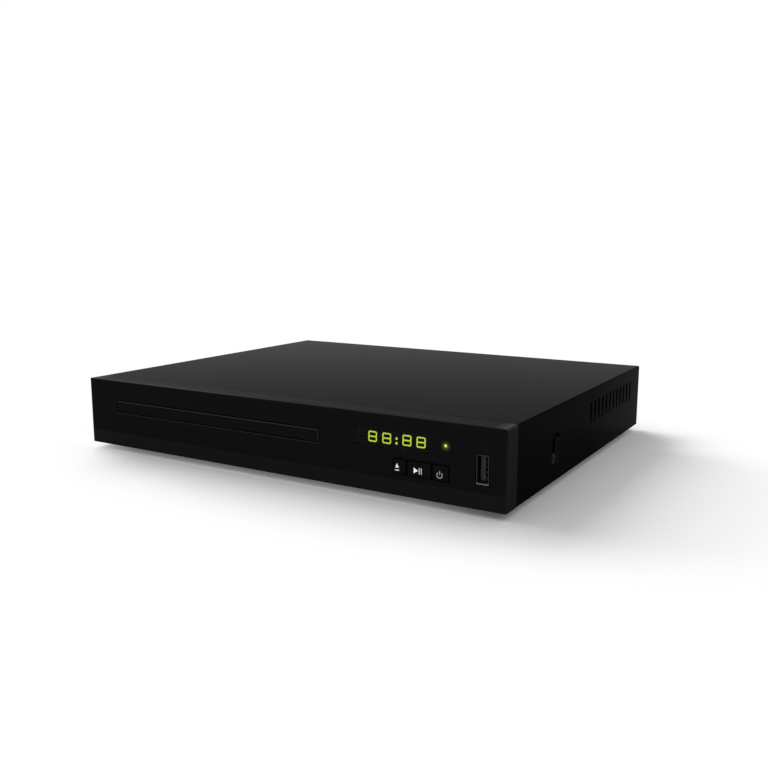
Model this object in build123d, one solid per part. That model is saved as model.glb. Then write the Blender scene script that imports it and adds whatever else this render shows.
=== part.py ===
from build123d import *
import os
from math import asin, cos, degrees, pi, radians, sin, tan

# A slim disc player with a motor-driven tray, in millimetres. The origin is on the
# surface it stands on, under the middle of the whole box. +X is to the right seen
# from the front, +Y runs to the rear and +Z is up.

# Outer sizes that no inner piece sets
body_height = 37.5
foot_height = 3.5
jack_reach = 8.0

# Sheet metal
cover_sheet = 0.8
pan_sheet = 0.8
panel_sheet = 0.8
seam = 0.2
fit_gap = 0.3
cover_edge_radius = 1.0

# Front moulding
bezel_depth = 12.0
bezel_wall = 2.2
bezel_corner_radius = 1.2
bezel_top_radius = 0.7
bezel_drop = 0.2
band_height = 9.5
band_blend = 3.0
band_lean = 4.0
lip_reach = 4.0
lip_wall = 1.2

# Disc tray and its door
loader_from_side = 12.25
disc_front_margin = 12.25
door_overlap = 1.6
door_height = 6.3
door_thickness = 2.4
door_middle = 26.5
door_gap = 0.45
door_corner = 0.6
tray_travel = 134.0
tray_margin = 7.25
tray_past_pivot = 14.0
tray_rim = 1.6
tray_skirt = 1.5
tray_skirt_inset = 3.0
tray_rise = 0.35
disc_recess_radius = 60.75
disc_recess_depth = 2.4
small_recess_radius = 40.75
small_recess_step = 1.0
recess_floor = 1.4
window_half = 23.0
finger_notch_radius = 11.0

# Display, light and buttons on the right of the front
window_from_side = 57.5
window_middle_z = 30.0
window_width = 46.0
window_height = 9.4
window_lip = 1.4
window_flange = 1.0
digit_height = 5.3
digit_width = 4.4
digit_stroke = 0.75
digit_offsets = (-14.35, -7.05, 4.65, 11.95)
digit_drop = 1.0
digit_lean = 0.09
colon_offset = 0.95
light_from_side = 29.2
light_z = 30.1
light_radius = 0.95
buttons_from_side = ((56.4, 50.0), (49.0, 37.0), (35.9, 28.0))
button_bottom = 13.8
button_top = 20.7
button_gap = 0.55
button_travel = 0.5
button_depth = 3.4
button_edge_round = 0.35
recess_bevel = 1.0

# Upright data socket beside the buttons
socket_from_side = 11.3
socket_z = 21.75
shell_width = 5.9
shell_height = 13.4
shell_wall = 0.35
shell_length = 13.6
socket_gap = 0.5
shell_setback = 0.25
tongue_width = 1.84
tongue_height = 11.4
tongue_setback = 2.5
tongue_side_gap = 0.65

# Side vents and screw pockets of the cover
vent_count = 12
vent_last_from_rear = 20.05
vent_pitch = 6.95
vent_width = 3.2
vent_bottom = 22.0
vent_top = 34.2
pocket_from_front = 61.7
pocket_width = 11.2
pocket_bottom = 10.4
pocket_top = 27.7
pocket_depth = 2.0
pocket_ramp = 3.0
hook_slot_inset = 5.0
hook_slot_width = 3.1
hook_slot_above_screw = 0.4
hook_slot_length = 5.9
pocket_screw_from_front = 61.1
pocket_screw_z = 14.2
screw_head_radius = 2.9
screw_head_height = 1.6
screw_shank_radius = 1.4
screw_length = 6.0

# Base pan and feet
foot_radius = 8.0
foot_inset_x = 26.0
foot_inset_front = 28.0
foot_inset_rear = 26.0
foot_recess = 2.4
pan_side_height = 17.0
pan_front_height = 5.0
board_standoff = 5.0
frame_standoff = 3.0
standoff_radius = 3.6
board_thickness = 1.6

# Moving drive of the loader
rack_module = 1.0
pinion_teeth = 16
wheel_module = 0.8
wheel_teeth = 30
small_teeth = 14
tooth_share = 0.41
mesh_slack = 0.12
gear_y_from_front = 28.0
gear_thickness = 1.8
pulley_radius = 12.0
pulley_thickness = 3.0
belt_section = 1.2
motor_pulley_radius = 3.0
motor_offset = 5.85
motor_radius = 11.0
motor_height = 10.4
gear_post_radius = 1.5
running_gap = 0.08

# Frame of the loader
frame_wall = 2.2
frame_gap = 0.4
frame_front_from_front = 15.0
frame_past_tray = 8.0
rear_space = 16.0
frame_floor = 1.4
frame_floor_top = 17.0
frame_top = 31.4
ledge_thickness = 1.5
rail_gap = 0.25
ear_length = 9.0
bridge_sheet = 1.2
bridge_width = 30.0

# Deck that swings up under the disc
deck_half = 38.0
deck_sheet = 1.2
deck_top = 16.8
deck_front_from_front = 49.0
deck_drop = 6.0
deck_pin_radius = 1.5
pivot_radius = 2.0
cam_travel = 20.0
cam_thickness = 3.0
cam_height = 14.5
cam_to_deck = 2.2
cam_half = 38.0
disc_seat = 28.0
turntable_radius = 14.5
turntable_height = 2.6
disc_bore_radius = 7.3
spindle_radius = 11.5
spindle_height = 5.6
puck_radius = 14.5
puck_waist = 9.8
sled_travel = 34.0
sled_inset = 6.0
sled_length = 30.0
sled_start_gap = 5.0
sled_end_gap = 1.0
screw_past_block = 6.0
sled_motor_length = 10.0
sled_motor_gap = 3.2
guide_rod_radius = 1.5
guide_rod_inset = 11.0
lead_screw_inset = 4.5
lead_screw_radius = 1.6

# Boards beside and behind each other, to the right of the loader
board_space = 10.55
board_side_space = 4.0
power_board_width = 71.15
power_board_length = 80.0
power_board_from_front = 24.0
board_split = 8.0
main_board_space = 3.55
main_board_to_inlet = 11.4

# Rear sockets
jack_count = 4
jack_first_from_side = 62.5
jack_pitch = 10.5
jack_z = 20.0
jack_barrel_radius = 4.15
jack_collar_radius = 3.5
jack_neck_step = 0.3
jack_bore_radius = 1.65
video_socket_from_side = 78.5
video_socket_z = 15.6
video_socket_width = 15.0
video_socket_height = 5.6
inlet_from_side = 14.0
inlet_z = 18.0
inlet_width = 14.6
inlet_height = 8.6
inlet_depth = 9.0
inlet_wall = 1.6
inlet_pin_radius = 1.2
inlet_pin_pitch = 8.6

# Sizes that follow from the pieces inside
disc_y_from_front = disc_recess_radius + disc_front_margin
tray_half = disc_recess_radius + tray_margin
door_width = 2 * (tray_half + door_overlap)
frame_inner = tray_half + frame_gap
frame_outer = frame_inner + frame_wall
sled_start_from_front = disc_y_from_front + spindle_radius + sled_start_gap
sled_end_from_front = sled_start_from_front + sled_length + sled_travel
sled_motor_from_front = sled_end_from_front + sled_end_gap + screw_past_block + fit_gap
deck_pivot_from_front = sled_motor_from_front + sled_motor_length + sled_motor_gap
tray_rear_from_front = deck_pivot_from_front + tray_past_pivot
frame_rear_from_front = tray_rear_from_front + frame_past_tray
body_depth = frame_rear_from_front + rear_space
pan_inset = pocket_depth + cover_sheet + 0.05
loader_span = 2 * (frame_outer + ear_length)
width = loader_from_side + loader_span + board_space + power_board_width + board_side_space + pan_inset

# Derived places
y_front = -(body_depth + jack_reach) / 2
y_rear = y_front + body_depth
z_base = foot_height
z_top = foot_height + body_height
x_side = width / 2
loader_x = loader_from_side + loader_span / 2 - x_side
window_middle_x = x_side - window_from_side
digit_lefts = [window_middle_x + offset for offset in digit_offsets]
digit_middle_z = window_middle_z - digit_drop
colon_x = window_middle_x + colon_offset
light_x = x_side - light_from_side
button_edges = [(x_side - left, x_side - right) for left, right in buttons_from_side]
socket_x = x_side - socket_from_side
motor_x = loader_x - motor_offset
jack_first_x = x_side - jack_first_from_side
video_socket_x = x_side - video_socket_from_side
inlet_x = x_side - inlet_from_side
guide_rod_half = deck_half - guide_rod_inset
lead_screw_half = deck_half - lead_screw_inset
sled_half = guide_rod_half - sled_inset
y_cover = y_front + bezel_depth + seam
z_pan = z_base + pan_sheet
x_pan = x_side - pan_inset
y_panel_front = y_rear - cover_sheet - seam - panel_sheet
y_panel_rear = y_panel_front + panel_sheet
disc_y = y_front + disc_y_from_front
door_bottom = door_middle - door_height / 2
door_top = door_middle + door_height / 2
tray_top = door_top - tray_rise
tray_bottom = door_bottom - 0.2
tray_front = y_front + door_thickness
tray_rear = y_front + tray_rear_from_front
recess_top = tray_top - disc_recess_depth
skirt_outer = tray_half - tray_skirt_inset
skirt_inner = skirt_outer - tray_skirt
y_wall_back = y_front + bezel_wall
y_lip_end = y_front + bezel_depth + lip_reach
y_board = y_front + shell_setback + shell_length
y_gear = y_front + gear_y_from_front
pinion_radius = pinion_teeth * rack_module / 2
wheel_radius = wheel_teeth * wheel_module / 2
small_radius = small_teeth * wheel_module / 2
rack_line = skirt_inner - 1.25 * rack_module
x_gear = loader_x + rack_line - pinion_radius - mesh_slack
x_small = x_gear - wheel_radius - small_radius - mesh_slack
z_pulley = frame_floor_top + 0.4
z_wheel = z_pulley + pulley_thickness + 0.3
z_pinion_top = recess_top - recess_floor - fit_gap
y_deck = y_front + deck_front_from_front
y_pivot = y_front + deck_pivot_from_front
z_pivot = deck_top - deck_sheet / 2
deck_swing = degrees(asin(deck_drop / (y_pivot - disc_y)))
y_cam = y_deck - cam_to_deck - cam_thickness
deck_pin_half = 20.0
pin_drop = (y_pivot - y_cam) * sin(radians(deck_swing))
z_board = z_pan + board_standoff
z_board_top = z_board + board_thickness
y_frame_front = y_front + frame_front_from_front
y_frame_rear = y_front + frame_rear_from_front
z_frame = z_pan + frame_standoff
ledge_top = tray_top - tray_rim - rail_gap
z_bridge = frame_top
foot_places = [
    (side * (x_side - foot_inset_x), y)
    for side in (-1, 1)
    for y in (y_front + foot_inset_front, y_rear - foot_inset_rear)
]
frame_feet = [
    (loader_x + side * (frame_outer + ear_length / 2), y)
    for side in (-1, 1)
    for y in (y_frame_front + 9.0, y_frame_rear - 9.0)
]
x_power_board = x_pan - board_side_space - power_board_width
y_power_board = y_front + power_board_from_front
y_main_board = y_power_board + power_board_length + board_split
power_board_box = (x_power_board, x_power_board + power_board_width, y_power_board, y_main_board - board_split)
x_main_board = loader_x + frame_outer + ear_length + main_board_space
main_board_box = (x_main_board, inlet_x - main_board_to_inlet, y_main_board, y_panel_front - 1.2)


def block(x0, x1, y0, y1, z0, z1):
    """A box given by its two ends along each axis."""
    size = Box(x1 - x0, y1 - y0, z1 - z0)
    return Pos((x0 + x1) / 2, (y0 + y1) / 2, (z0 + z1) / 2) * size


def post(x, y, radius, z0, z1):
    """An upright cylinder."""
    return Pos(x, y, (z0 + z1) / 2) * Cylinder(radius, z1 - z0)


def bar_y(x, z, radius, y0, y1):
    """A cylinder that runs from front to rear."""
    return Pos(x, (y0 + y1) / 2, z) * Rot(90, 0, 0) * Cylinder(radius, y1 - y0)


def bar_x(y, z, radius, x0, x1):
    """A cylinder that runs from left to right."""
    return Pos((x0 + x1) / 2, y, z) * Rot(0, 90, 0) * Cylinder(radius, x1 - x0)


def front_slab(x0, x1, z0, z1, y0, y1, corner):
    """A slab seen from the front as a rectangle with rounded corners."""
    face = RectangleRounded(x1 - x0, z1 - z0, corner)
    place = Plane(((x0 + x1) / 2, y0, (z0 + z1) / 2), x_dir=(1, 0, 0), z_dir=(0, 1, 0))
    return extrude(place * face, y1 - y0)


def both_sides(shape):
    """The shape together with its mirror image across the middle plane."""
    return shape + mirror(shape, Plane.YZ)


def toothed(teeth, module, z0, z1, x, y, turn=0.0):
    """A spur gear with straight-sided teeth, running free in its mate."""
    pitch_radius = teeth * module / 2
    tip = pitch_radius + module
    root = pitch_radius - 1.2 * module
    half = tooth_share * pi / teeth
    points = []
    for index in range(teeth):
        middle = 2 * pi * index / teeth + radians(turn)
        for radius, share in ((root, -1.35), (tip, -0.45), (tip, 0.45), (root, 1.35)):
            angle = middle + share * half
            points.append((radius * cos(angle), radius * sin(angle)))
    outline = make_face(Polyline(points, close=True))
    return Pos(x, y, z0) * extrude(outline, z1 - z0)


def front_outline():
    """The side profile of the front moulding, with its leaning foot band."""
    z0 = z_base - bezel_drop
    lean = radians(band_lean)
    band_radius = band_blend / sin(lean)
    z_start = z_base + band_height
    z_blend = z_start - band_blend
    y_blend = y_front + band_radius * (1 - cos(lean))
    half_lean = lean / 2
    y_mid = y_front + band_radius * (1 - cos(half_lean))
    z_mid = z_start - band_radius * sin(half_lean)
    y_foot = y_blend + (z_blend - z0) * tan(lean)
    y_back = y_front + bezel_depth
    round_z = z_top - bezel_top_radius
    round_y = y_front + bezel_top_radius
    bend = bezel_top_radius * (1 - cos(pi / 4))
    with BuildLine(Plane.YZ) as path:
        Line((y_back, z0), (y_foot, z0))
        Line((y_foot, z0), (y_blend, z_blend))
        ThreePointArc((y_blend, z_blend), (y_mid, z_mid), (y_front, z_start))
        Line((y_front, z_start), (y_front, round_z))
        ThreePointArc((y_front, round_z), (y_front + bend, z_top - bend), (round_y, z_top))
        Line((round_y, z_top), (y_back, z_top))
        Line((y_back, z_top), (y_back, z0))
    return make_face(path.line)


def rear_profile(half, top, bottom, radius):
    """A section seen from the front, rounded at its two top corners only."""
    bend = radius * (1 - cos(pi / 4))
    with BuildLine(Plane.XZ) as path:
        Line((-half, bottom), (half, bottom))
        Line((half, bottom), (half, top - radius))
        ThreePointArc((half, top - radius), (half - bend, top - bend), (half - radius, top))
        Line((half - radius, top), (radius - half, top))
        ThreePointArc((radius - half, top), (bend - half, top - bend), (-half, top - radius))
        Line((-half, top - radius), (-half, bottom))
    return make_face(path.line)


def section_run(half, top, bottom, radius, y0, y1):
    """That section carried from y0 to y1."""
    return Pos(0, y1, 0) * extrude(rear_profile(half, top, bottom, radius), y1 - y0)


def button_opening(y0, y1, grow):
    """The one opening that all the buttons share."""
    left = button_edges[0][0] - button_gap - grow
    right = button_edges[-1][1] + button_gap + grow
    bottom = button_bottom - button_gap - grow
    top = button_top + button_gap + grow
    return front_slab(left, right, bottom, top, y0, y1, 0.6 + grow)


def front_bezel():
    """The hollow front moulding with its openings, lip, ribs and bosses."""
    z0 = z_base - bezel_drop
    y_back = y_front + bezel_depth
    shell = extrude(front_outline(), x_side, both=True)
    reach = 2 * bezel_depth
    plan = front_plan(x_side, y_front, reach, bezel_corner_radius)
    shell &= Pos(0, 0, z0 - 1) * extrude(plan, z_top - z0 + 2)
    shell &= section_run(x_side, z_top, z0 - 1, cover_edge_radius, y_front - 1, y_back + 1)
    inner_half = x_side - bezel_wall
    shell -= block(-inner_half, inner_half, y_wall_back, y_back + 1, z0 + bezel_wall, z_top - bezel_wall)
    lip_half = x_side - cover_sheet - seam
    lip_top = z_top - cover_sheet - seam
    lip = section_run(lip_half, lip_top, z_base + 9.0, 0.3, y_back - 2.0, y_lip_end)
    lip -= block(
        lip_wall - lip_half, lip_half - lip_wall, y_back - 3, y_lip_end + 1, z_base, lip_top - lip_wall
    )
    shell += lip
    for x in hook_places():
        shell += block(x - 5, x + 5, y_wall_back - 0.2, y_lip_end, z_pan + 5.4, z_pan + 6.8)
        shell += block(x - 5, x + 5, y_lip_end - 1.6, y_lip_end, z_pan + 4.2, z_pan + 5.6)
    for x, z in board_posts():
        shell += bar_y(x, z, 2.6, y_wall_back - 0.2, y_board)
    cuts = [tray_opening(), button_opening(y_front - 1, y_wall_back + 1, 0)]
    cuts.append(window_box(y_front - 1, y_wall_back + 1, 0))
    cuts.append(bar_y(light_x, light_z, light_radius + 0.05, y_front - 1, y_wall_back + 1))
    cuts.append(socket_box(y_front - 1, y_wall_back + 1, socket_gap))
    shell -= cuts
    shell -= button_bevel()
    for x, z in board_posts():
        shell -= bar_y(x, z, screw_shank_radius, y_board - 6, y_board + 1)
    return shell


def front_plan(half, y0, reach, corner):
    """A plan outline whose two front corners are rounded."""
    bend = corner * (1 - cos(pi / 4))
    with BuildLine() as path:
        Line((-half, y0 + reach), (-half, y0 + corner))
        ThreePointArc((-half, y0 + corner), (bend - half, y0 + bend), (corner - half, y0))
        Line((corner - half, y0), (half - corner, y0))
        ThreePointArc((half - corner, y0), (half - bend, y0 + bend), (half, y0 + corner))
        Line((half, y0 + corner), (half, y0 + reach))
        Line((half, y0 + reach), (-half, y0 + reach))
    return make_face(path.line)


def hook_places():
    """Where the moulding's hooks reach over the pan's front flange."""
    return (11.0 - x_side, loader_x + 8.0, loader_x + frame_outer + 13.4)


def board_posts():
    """The posts behind the front wall that carry the front board."""
    return (
        (button_edges[0][0] - 9.0, button_bottom - 0.4),
        (light_x + 6.0, z_top - 5.6),
        (button_edges[-1][1] + 6.2, button_bottom - 0.4),
    )


def tray_opening():
    """The slot that the disc tray runs out of."""
    half = door_width / 2 + door_gap
    return front_slab(
        loader_x - half,
        loader_x + half,
        door_bottom - door_gap,
        door_top + door_gap,
        y_front - 1,
        y_wall_back + 1,
        door_corner + door_gap,
    )


def window_box(y0, y1, grow):
    """A slab with the outline of the display window."""
    half = window_width / 2 + grow
    tall = window_height / 2 + grow
    return front_slab(
        window_middle_x - half,
        window_middle_x + half,
        window_middle_z - tall,
        window_middle_z + tall,
        y0,
        y1,
        0.8 + max(grow, 0),
    )


def socket_box(y0, y1, grow):
    """A slab with the outline of the upright socket's shell."""
    half = shell_width / 2 + grow
    tall = shell_height / 2 + grow
    return front_slab(
        socket_x - half, socket_x + half, socket_z - tall, socket_z + tall, y0, y1, 0.5 + max(grow, -0.3)
    )


def button_bevel():
    """The shallow bevel round the buttons' opening."""
    left = button_edges[0][0] - button_gap
    right = button_edges[-1][1] + button_gap
    bottom = button_bottom - button_gap
    top = button_top + button_gap
    middle = ((left + right) / 2, (bottom + top) / 2)
    wide = RectangleRounded(right - left + 2 * recess_bevel, top - bottom + 2 * recess_bevel, 0.6 + recess_bevel)
    narrow = RectangleRounded(right - left, top - bottom, 0.6)
    outer = Plane((middle[0], y_front - 0.001, middle[1]), x_dir=(1, 0, 0), z_dir=(0, 1, 0)) * wide
    inner = Plane((middle[0], y_front + recess_bevel * 0.7, middle[1]), x_dir=(1, 0, 0), z_dir=(0, 1, 0)) * narrow
    return loft([outer, inner])


def display_window():
    """The smoked lens, flush with the front and flanged behind it."""
    lens = window_box(y_front, y_wall_back + 0.2, -0.05)
    return lens + window_box(y_wall_back, y_wall_back + window_flange, window_lip)


def power_led():
    """The light pipe beside the display."""
    pipe = bar_y(light_x, light_z, light_radius, y_front, y_board - 3.2)
    return pipe + bar_y(light_x, light_z, light_radius + 1.0, y_wall_back, y_wall_back + 1.0)


def button(index):
    """One button cap with its stop flange and its plunger."""
    left, right = button_edges[index]
    cap = front_slab(left, right, button_bottom, button_top, y_front + 0.1, y_front + button_depth, 0.45)
    front_edges = cap.edges().filter_by(lambda edge: edge.center().Y < y_front + 0.2)
    cap = chamfer(front_edges, button_edge_round)
    inner = [0.35 if index == 0 else 0.2, 0.35 if index == len(button_edges) - 1 else 0.2]
    flange_front = y_wall_back + 0.15
    grow_left = button_gap + 0.6 if index == 0 else -inner[0]
    grow_right = button_gap + 0.6 if index == len(button_edges) - 1 else -inner[1]
    flange = block(
        left - grow_left,
        right + grow_right,
        flange_front,
        flange_front + 1.0,
        button_bottom - button_gap - 0.7,
        button_top + button_gap + 0.7,
    )
    middle = (left + right) / 2
    tall = (button_bottom + button_top) / 2
    plunger = front_slab(middle - 1.6, middle + 1.6, tall - 1.6, tall + 1.6, flange_front, plunger_end(), 0.4)
    return cap + flange + plunger


def plunger_end():
    """Where a button's plunger stops, short of its switch."""
    return y_board - 4.6 - button_travel - 0.1


def tact_switches():
    """The switches that the buttons press."""
    tall = (button_bottom + button_top) / 2
    group = None
    for left, right in button_edges:
        middle = (left + right) / 2
        body = block(middle - 2.9, middle + 2.9, y_board - 3.4, y_board, tall - 3, tall + 3)
        body += bar_y(middle, tall, 1.7, y_board - 4.6, y_board - 3.2)
        group = body if group is None else group + body
    return group


def socket_shell():
    """The folded metal shell of the upright socket."""
    y0 = y_front + shell_setback
    y1 = y0 + shell_length
    shell = socket_box(y0, y1, 0) - socket_box(y0 - 1, y1 - 1.2, -shell_wall)
    for side in (-1, 1):
        x = socket_x + side * (shell_width / 2 - shell_wall / 2)
        shell -= Pos(x, (y0 + y1) / 2 + 1.0, socket_z) * Box(1.2, 5.0, 1.8)
    return shell


def socket_tongue():
    """The contact carrier inside the socket, beside its four contacts."""
    left = socket_x - shell_width / 2 + shell_wall + tongue_side_gap
    y0 = y_front + shell_setback + tongue_setback
    y1 = y_front + shell_setback + shell_length - 1.2
    half = tongue_height / 2
    tongue = block(left, left + tongue_width, y0, y1, socket_z - half, socket_z + half)
    tongue = fillet(tongue.edges().filter_by(Axis.X).sort_by(Axis.Y)[:2], 0.5)
    for index in range(4):
        z = socket_z + (index - 1.5) * 2.3
        tongue -= block(left + tongue_width - 0.2, left + tongue_width + 1, y0 + 1.2, y1 - 1.0, z - 0.5, z + 0.5)
    return tongue


def front_board():
    """The upright board behind the front, with its cut corner and holes."""
    left = window_middle_x - window_width / 2 - 1.0
    right = x_side - bezel_wall - 1.2
    bottom = z_base + pan_front_height + 0.6
    top = z_top - bezel_wall - 1.0
    board = block(left, right, y_board, y_board + board_thickness, bottom, top)
    board -= block(left - 1, left + 7, y_board - 1, y_board + 3, bottom - 1, bottom + 9.0)
    for x, z in board_posts():
        board -= bar_y(x, z, screw_shank_radius + 0.2, y_board - 1, y_board + 3)
    return board


def clock_display():
    """The display module that shines through the smoked window."""
    front = y_wall_back + window_flange + 0.3
    left = digit_lefts[0] - 2.4
    right = window_middle_x + window_width / 2 - 0.6
    bottom = window_middle_z - window_height / 2 - 1.0
    top = window_middle_z + window_height / 2 + 0.6
    body = block(left, right, front, y_board, bottom, top)
    for segment in digit_cells(front - 0.5, front + 0.45):
        body -= segment
    return body


def digit_cells(y0, y1):
    """Seven thin bars for each digit, and the two dots of the colon."""
    bottom = digit_middle_z - digit_height / 2
    cells = []
    for left in digit_lefts:
        right = left + digit_width
        middle = bottom + digit_height / 2
        top = bottom + digit_height
        inset = digit_stroke * 0.62
        for z in (bottom, middle, top):
            shift = (z - bottom) * digit_lean
            cells.append(lit_bar(left + inset + shift, right - inset + shift, z, z, y0, y1))
        for x in (left, right):
            for z0 in (bottom, middle):
                z1 = z0 + digit_height / 2
                low = x + (z0 + inset - bottom) * digit_lean
                high = x + (z1 - inset - bottom) * digit_lean
                cells.append(lit_bar(low, high, z0 + inset, z1 - inset, y0, y1))
    for share in (0.3, 0.7):
        z = bottom + share * digit_height
        cells.append(bar_y(colon_x + (z - bottom) * digit_lean, z, digit_stroke / 2, y0, y1))
    return cells


def lit_bar(x0, x1, z0, z1, y0, y1):
    """One lit bar from one end to the other, rounded at both ends."""
    plane = Plane((0, y0, 0), x_dir=(1, 0, 0), z_dir=(0, 1, 0))
    path = Line((x0, -z0), (x1, -z1))
    length = path.length
    middle = ((x0 + x1) / 2, -(z0 + z1) / 2)
    angle = degrees_of(x1 - x0, z0 - z1)
    shape = Location(middle, angle) * SlotCenterToCenter(length, digit_stroke)
    return extrude(plane * shape, y1 - y0)


def degrees_of(dx, dy):
    """The direction of a run, in degrees."""
    return Vector(1, 0, 0).get_signed_angle(Vector(dx, dy, 0), Vector(0, 0, 1))


def display_segments():
    """The lit bars and dots, seated in the module's face."""
    front = y_wall_back + window_flange + 0.3
    return Compound(children=[cell.solid() for cell in digit_cells(front, front + 0.45)])


def ir_receiver():
    """The remote-control receiver behind the left end of the window."""
    left = window_middle_x - window_width / 2 + 1.0
    right = digit_lefts[0] - 3.0
    middle = (left + right) / 2
    y0 = y_wall_back + window_flange + 1.6
    tall = window_height / 2 - 0.6
    body = block(left, right, y0, y0 + 3.4, window_middle_z - tall, window_middle_z + tall)
    dome = Pos(middle, y0, window_middle_z) * Sphere((right - left) * 0.3)
    body += dome & block(left, right, y0 - 1.3, y0 + 1, window_middle_z - tall, window_middle_z + tall)
    leg_bottom = window_middle_z - tall - 1.8
    for shift in (-1.8, 0.0, 1.8):
        x = middle + shift
        body += block(x - 0.3, x + 0.3, y0 + 1.4, y0 + 2.0, leg_bottom, window_middle_z - tall + 0.1)
        body += block(x - 0.3, x + 0.3, y0 + 1.4, y_board, leg_bottom, leg_bottom + 0.6)
    return body


def top_cover():
    """The folded cover, with side vents, screw pockets and a rear flange."""
    outer = section_run(x_side, z_top, z_base, cover_edge_radius, y_cover, y_rear)
    inner_half = x_side - cover_sheet
    inner = section_run(
        inner_half, z_top - cover_sheet, z_base - 1, 0.3, y_cover - 1, y_rear - cover_sheet
    )
    cover = outer - inner
    flange_bottom = z_top - 7.0
    window = block(-inner_half, inner_half, y_rear - 2, y_rear + 1, z_base - 1, flange_bottom)
    cover -= window
    for side in (-1, 1):
        cover += pocket(side, cover_sheet, cover_sheet)
    for side in (-1, 1):
        cover -= pocket(side, 0, -1)
        cover -= hook_slot(side, 0)
        cover -= bar_x(
            y_front + pocket_screw_from_front,
            pocket_screw_z,
            screw_shank_radius + 0.2,
            side * x_side - 5,
            side * x_side + 5,
        )
    slots = []
    for index in range(vent_count):
        y = y_rear - vent_last_from_rear - index * vent_pitch
        tall = vent_top - vent_bottom
        slot = Plane((0, y, (vent_bottom + vent_top) / 2), x_dir=(0, 0, 1), z_dir=(1, 0, 0))
        slots.append(extrude(slot * SlotOverall(tall, vent_width), x_side + 1, both=True))
    cover -= [slot - block(-inner_half, inner_half, y_front, y_rear, z_base, z_top) for slot in slots]
    for x in rear_screw_places():
        cover -= bar_y(x, z_top - 4.2, screw_shank_radius + 0.2, y_rear - 2, y_rear + 1)
    return cover


def pocket(side, grow, deepen):
    """The arched pocket round a side screw, its floor rising to the face behind; grow adds its sheet."""
    wide = pocket_width + 2 * grow
    bottom = pocket_bottom - grow
    top = pocket_top + grow
    radius = wide / 2
    y = y_front + pocket_from_front
    with BuildSketch(Plane((0, y, 0), x_dir=(0, 1, 0), z_dir=(1, 0, 0))) as face:
        with Locations((0, (bottom + top - radius) / 2)):
            Rectangle(wide, top - radius - bottom)
        with Locations((0, top - radius)):
            Circle(radius)
    depth = pocket_depth + (cover_sheet if grow else 0)
    start = x_side - depth
    end = x_side if grow else x_side + 1
    solid = Pos(start, 0, 0) * extrude(face.sketch, end - start)
    lower = fillet(solid.edges().filter_by(Axis.X).sort_by(Axis.Z)[:2], 1.6 + grow)
    y_back = y + pocket_width / 2 + 0.375 * grow
    rise = x_side - grow
    floor_plan = Polyline(
        (x_side + 2, y - wide),
        (start, y - wide),
        (start, y_back - pocket_ramp),
        (rise, y_back),
        (x_side + 2, y_back),
        close=True,
    )
    kept = lower & Pos(0, 0, bottom - 1) * extrude(make_face(floor_plan), top - bottom + 2)
    return kept if side > 0 else mirror(kept, Plane.YZ)


def hook_slot(side, grow):
    """The slot above the screw in the pocket's floor; grow widens it for the notch in the pan's wall."""
    y0 = y_front + pocket_from_front - pocket_width / 2 + hook_slot_inset
    low = pocket_screw_z + screw_head_radius + hook_slot_above_screw
    cut = block(
        x_pan - pan_sheet - 1,
        x_side - pocket_depth + 0.5,
        y0 - grow,
        y0 + hook_slot_width + grow,
        low - grow,
        low + hook_slot_length + grow,
    )
    return cut if side > 0 else mirror(cut, Plane.YZ)


def rear_screw_places():
    """The three screws that hold the cover to the rear panel."""
    return (-(x_side - 22.0), 0.0, x_side - 22.0)


def side_screws():
    """The two screws in the side pockets."""
    y = y_front + pocket_screw_from_front
    floor = x_side - pocket_depth
    head = bar_x(y, pocket_screw_z, screw_head_radius, floor, floor + screw_head_height)
    head = fillet(head.edges().sort_by(Axis.X)[-1], 0.7)
    shank = bar_x(y, pocket_screw_z, screw_shank_radius, floor - screw_length, floor + 0.2)
    return both_sides(head + shank)


def rear_screws():
    """The three screws in the cover's rear flange."""
    group = None
    for x in rear_screw_places():
        z = z_top - 4.2
        head = bar_y(x, z, screw_head_radius, y_rear, y_rear + screw_head_height)
        head = fillet(head.edges().sort_by(Axis.Y)[-1], 0.7)
        screw = head + bar_y(x, z, screw_shank_radius, y_rear - screw_length, y_rear + 0.2)
        group = screw if group is None else group + screw
    return group


def chassis_base():
    """The pressed base pan with its flanges, standoffs, vents and screw holes."""
    y0 = y_front + bezel_depth + fit_gap
    y1 = y_panel_front
    pan = block(-x_pan, x_pan, y0, y1, z_base, z_pan)
    for side in (-1, 1):
        x0 = side * x_pan
        x1 = side * (x_pan - pan_sheet)
        pan += block(min(x0, x1), max(x0, x1), y_lip_end + 1.0, y1, z_base, z_base + pan_side_height)
    pan += block(-x_pan, x_pan, y0, y0 + pan_sheet, z_base, z_base + pan_front_height)
    for x, y in frame_feet:
        pan += standoff(x, y, frame_standoff)
    for x, y in board_feet():
        pan += standoff(x, y, board_standoff)
    cuts = [standoff_bore(x, y, frame_standoff) for x, y in frame_feet]
    cuts += [standoff_bore(x, y, board_standoff) for x, y in board_feet()]
    for x, y in foot_places:
        cuts.append(post(x, y, 2.6, z_base - 1, z_pan + 1))
    for index in range(9):
        x = power_board_box[0] + 7.0 + index * 7.4
        slot = Pos(x, (power_board_box[2] + power_board_box[3]) / 2, z_base - 1)
        cuts.append(slot * extrude(SlotOverall(34.0, 2.6, rotation=90), 4.0))
    for side in (-1, 1):
        y = y_front + pocket_screw_from_front
        cuts.append(bar_x(y, pocket_screw_z, screw_shank_radius, side * x_pan - 3, side * x_pan + 3))
        cuts.append(hook_slot(side, pan_sheet))
    pan -= cuts
    return pan


def board_feet():
    """The standoffs under the two boards."""
    places = []
    for x0, x1, y0, y1 in (power_board_box, main_board_box):
        for x in (x0 + 4.5, x1 - 4.5):
            for y in (y0 + 4.5, y1 - 14.5):
                places.append((x, y))
    return places


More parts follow.
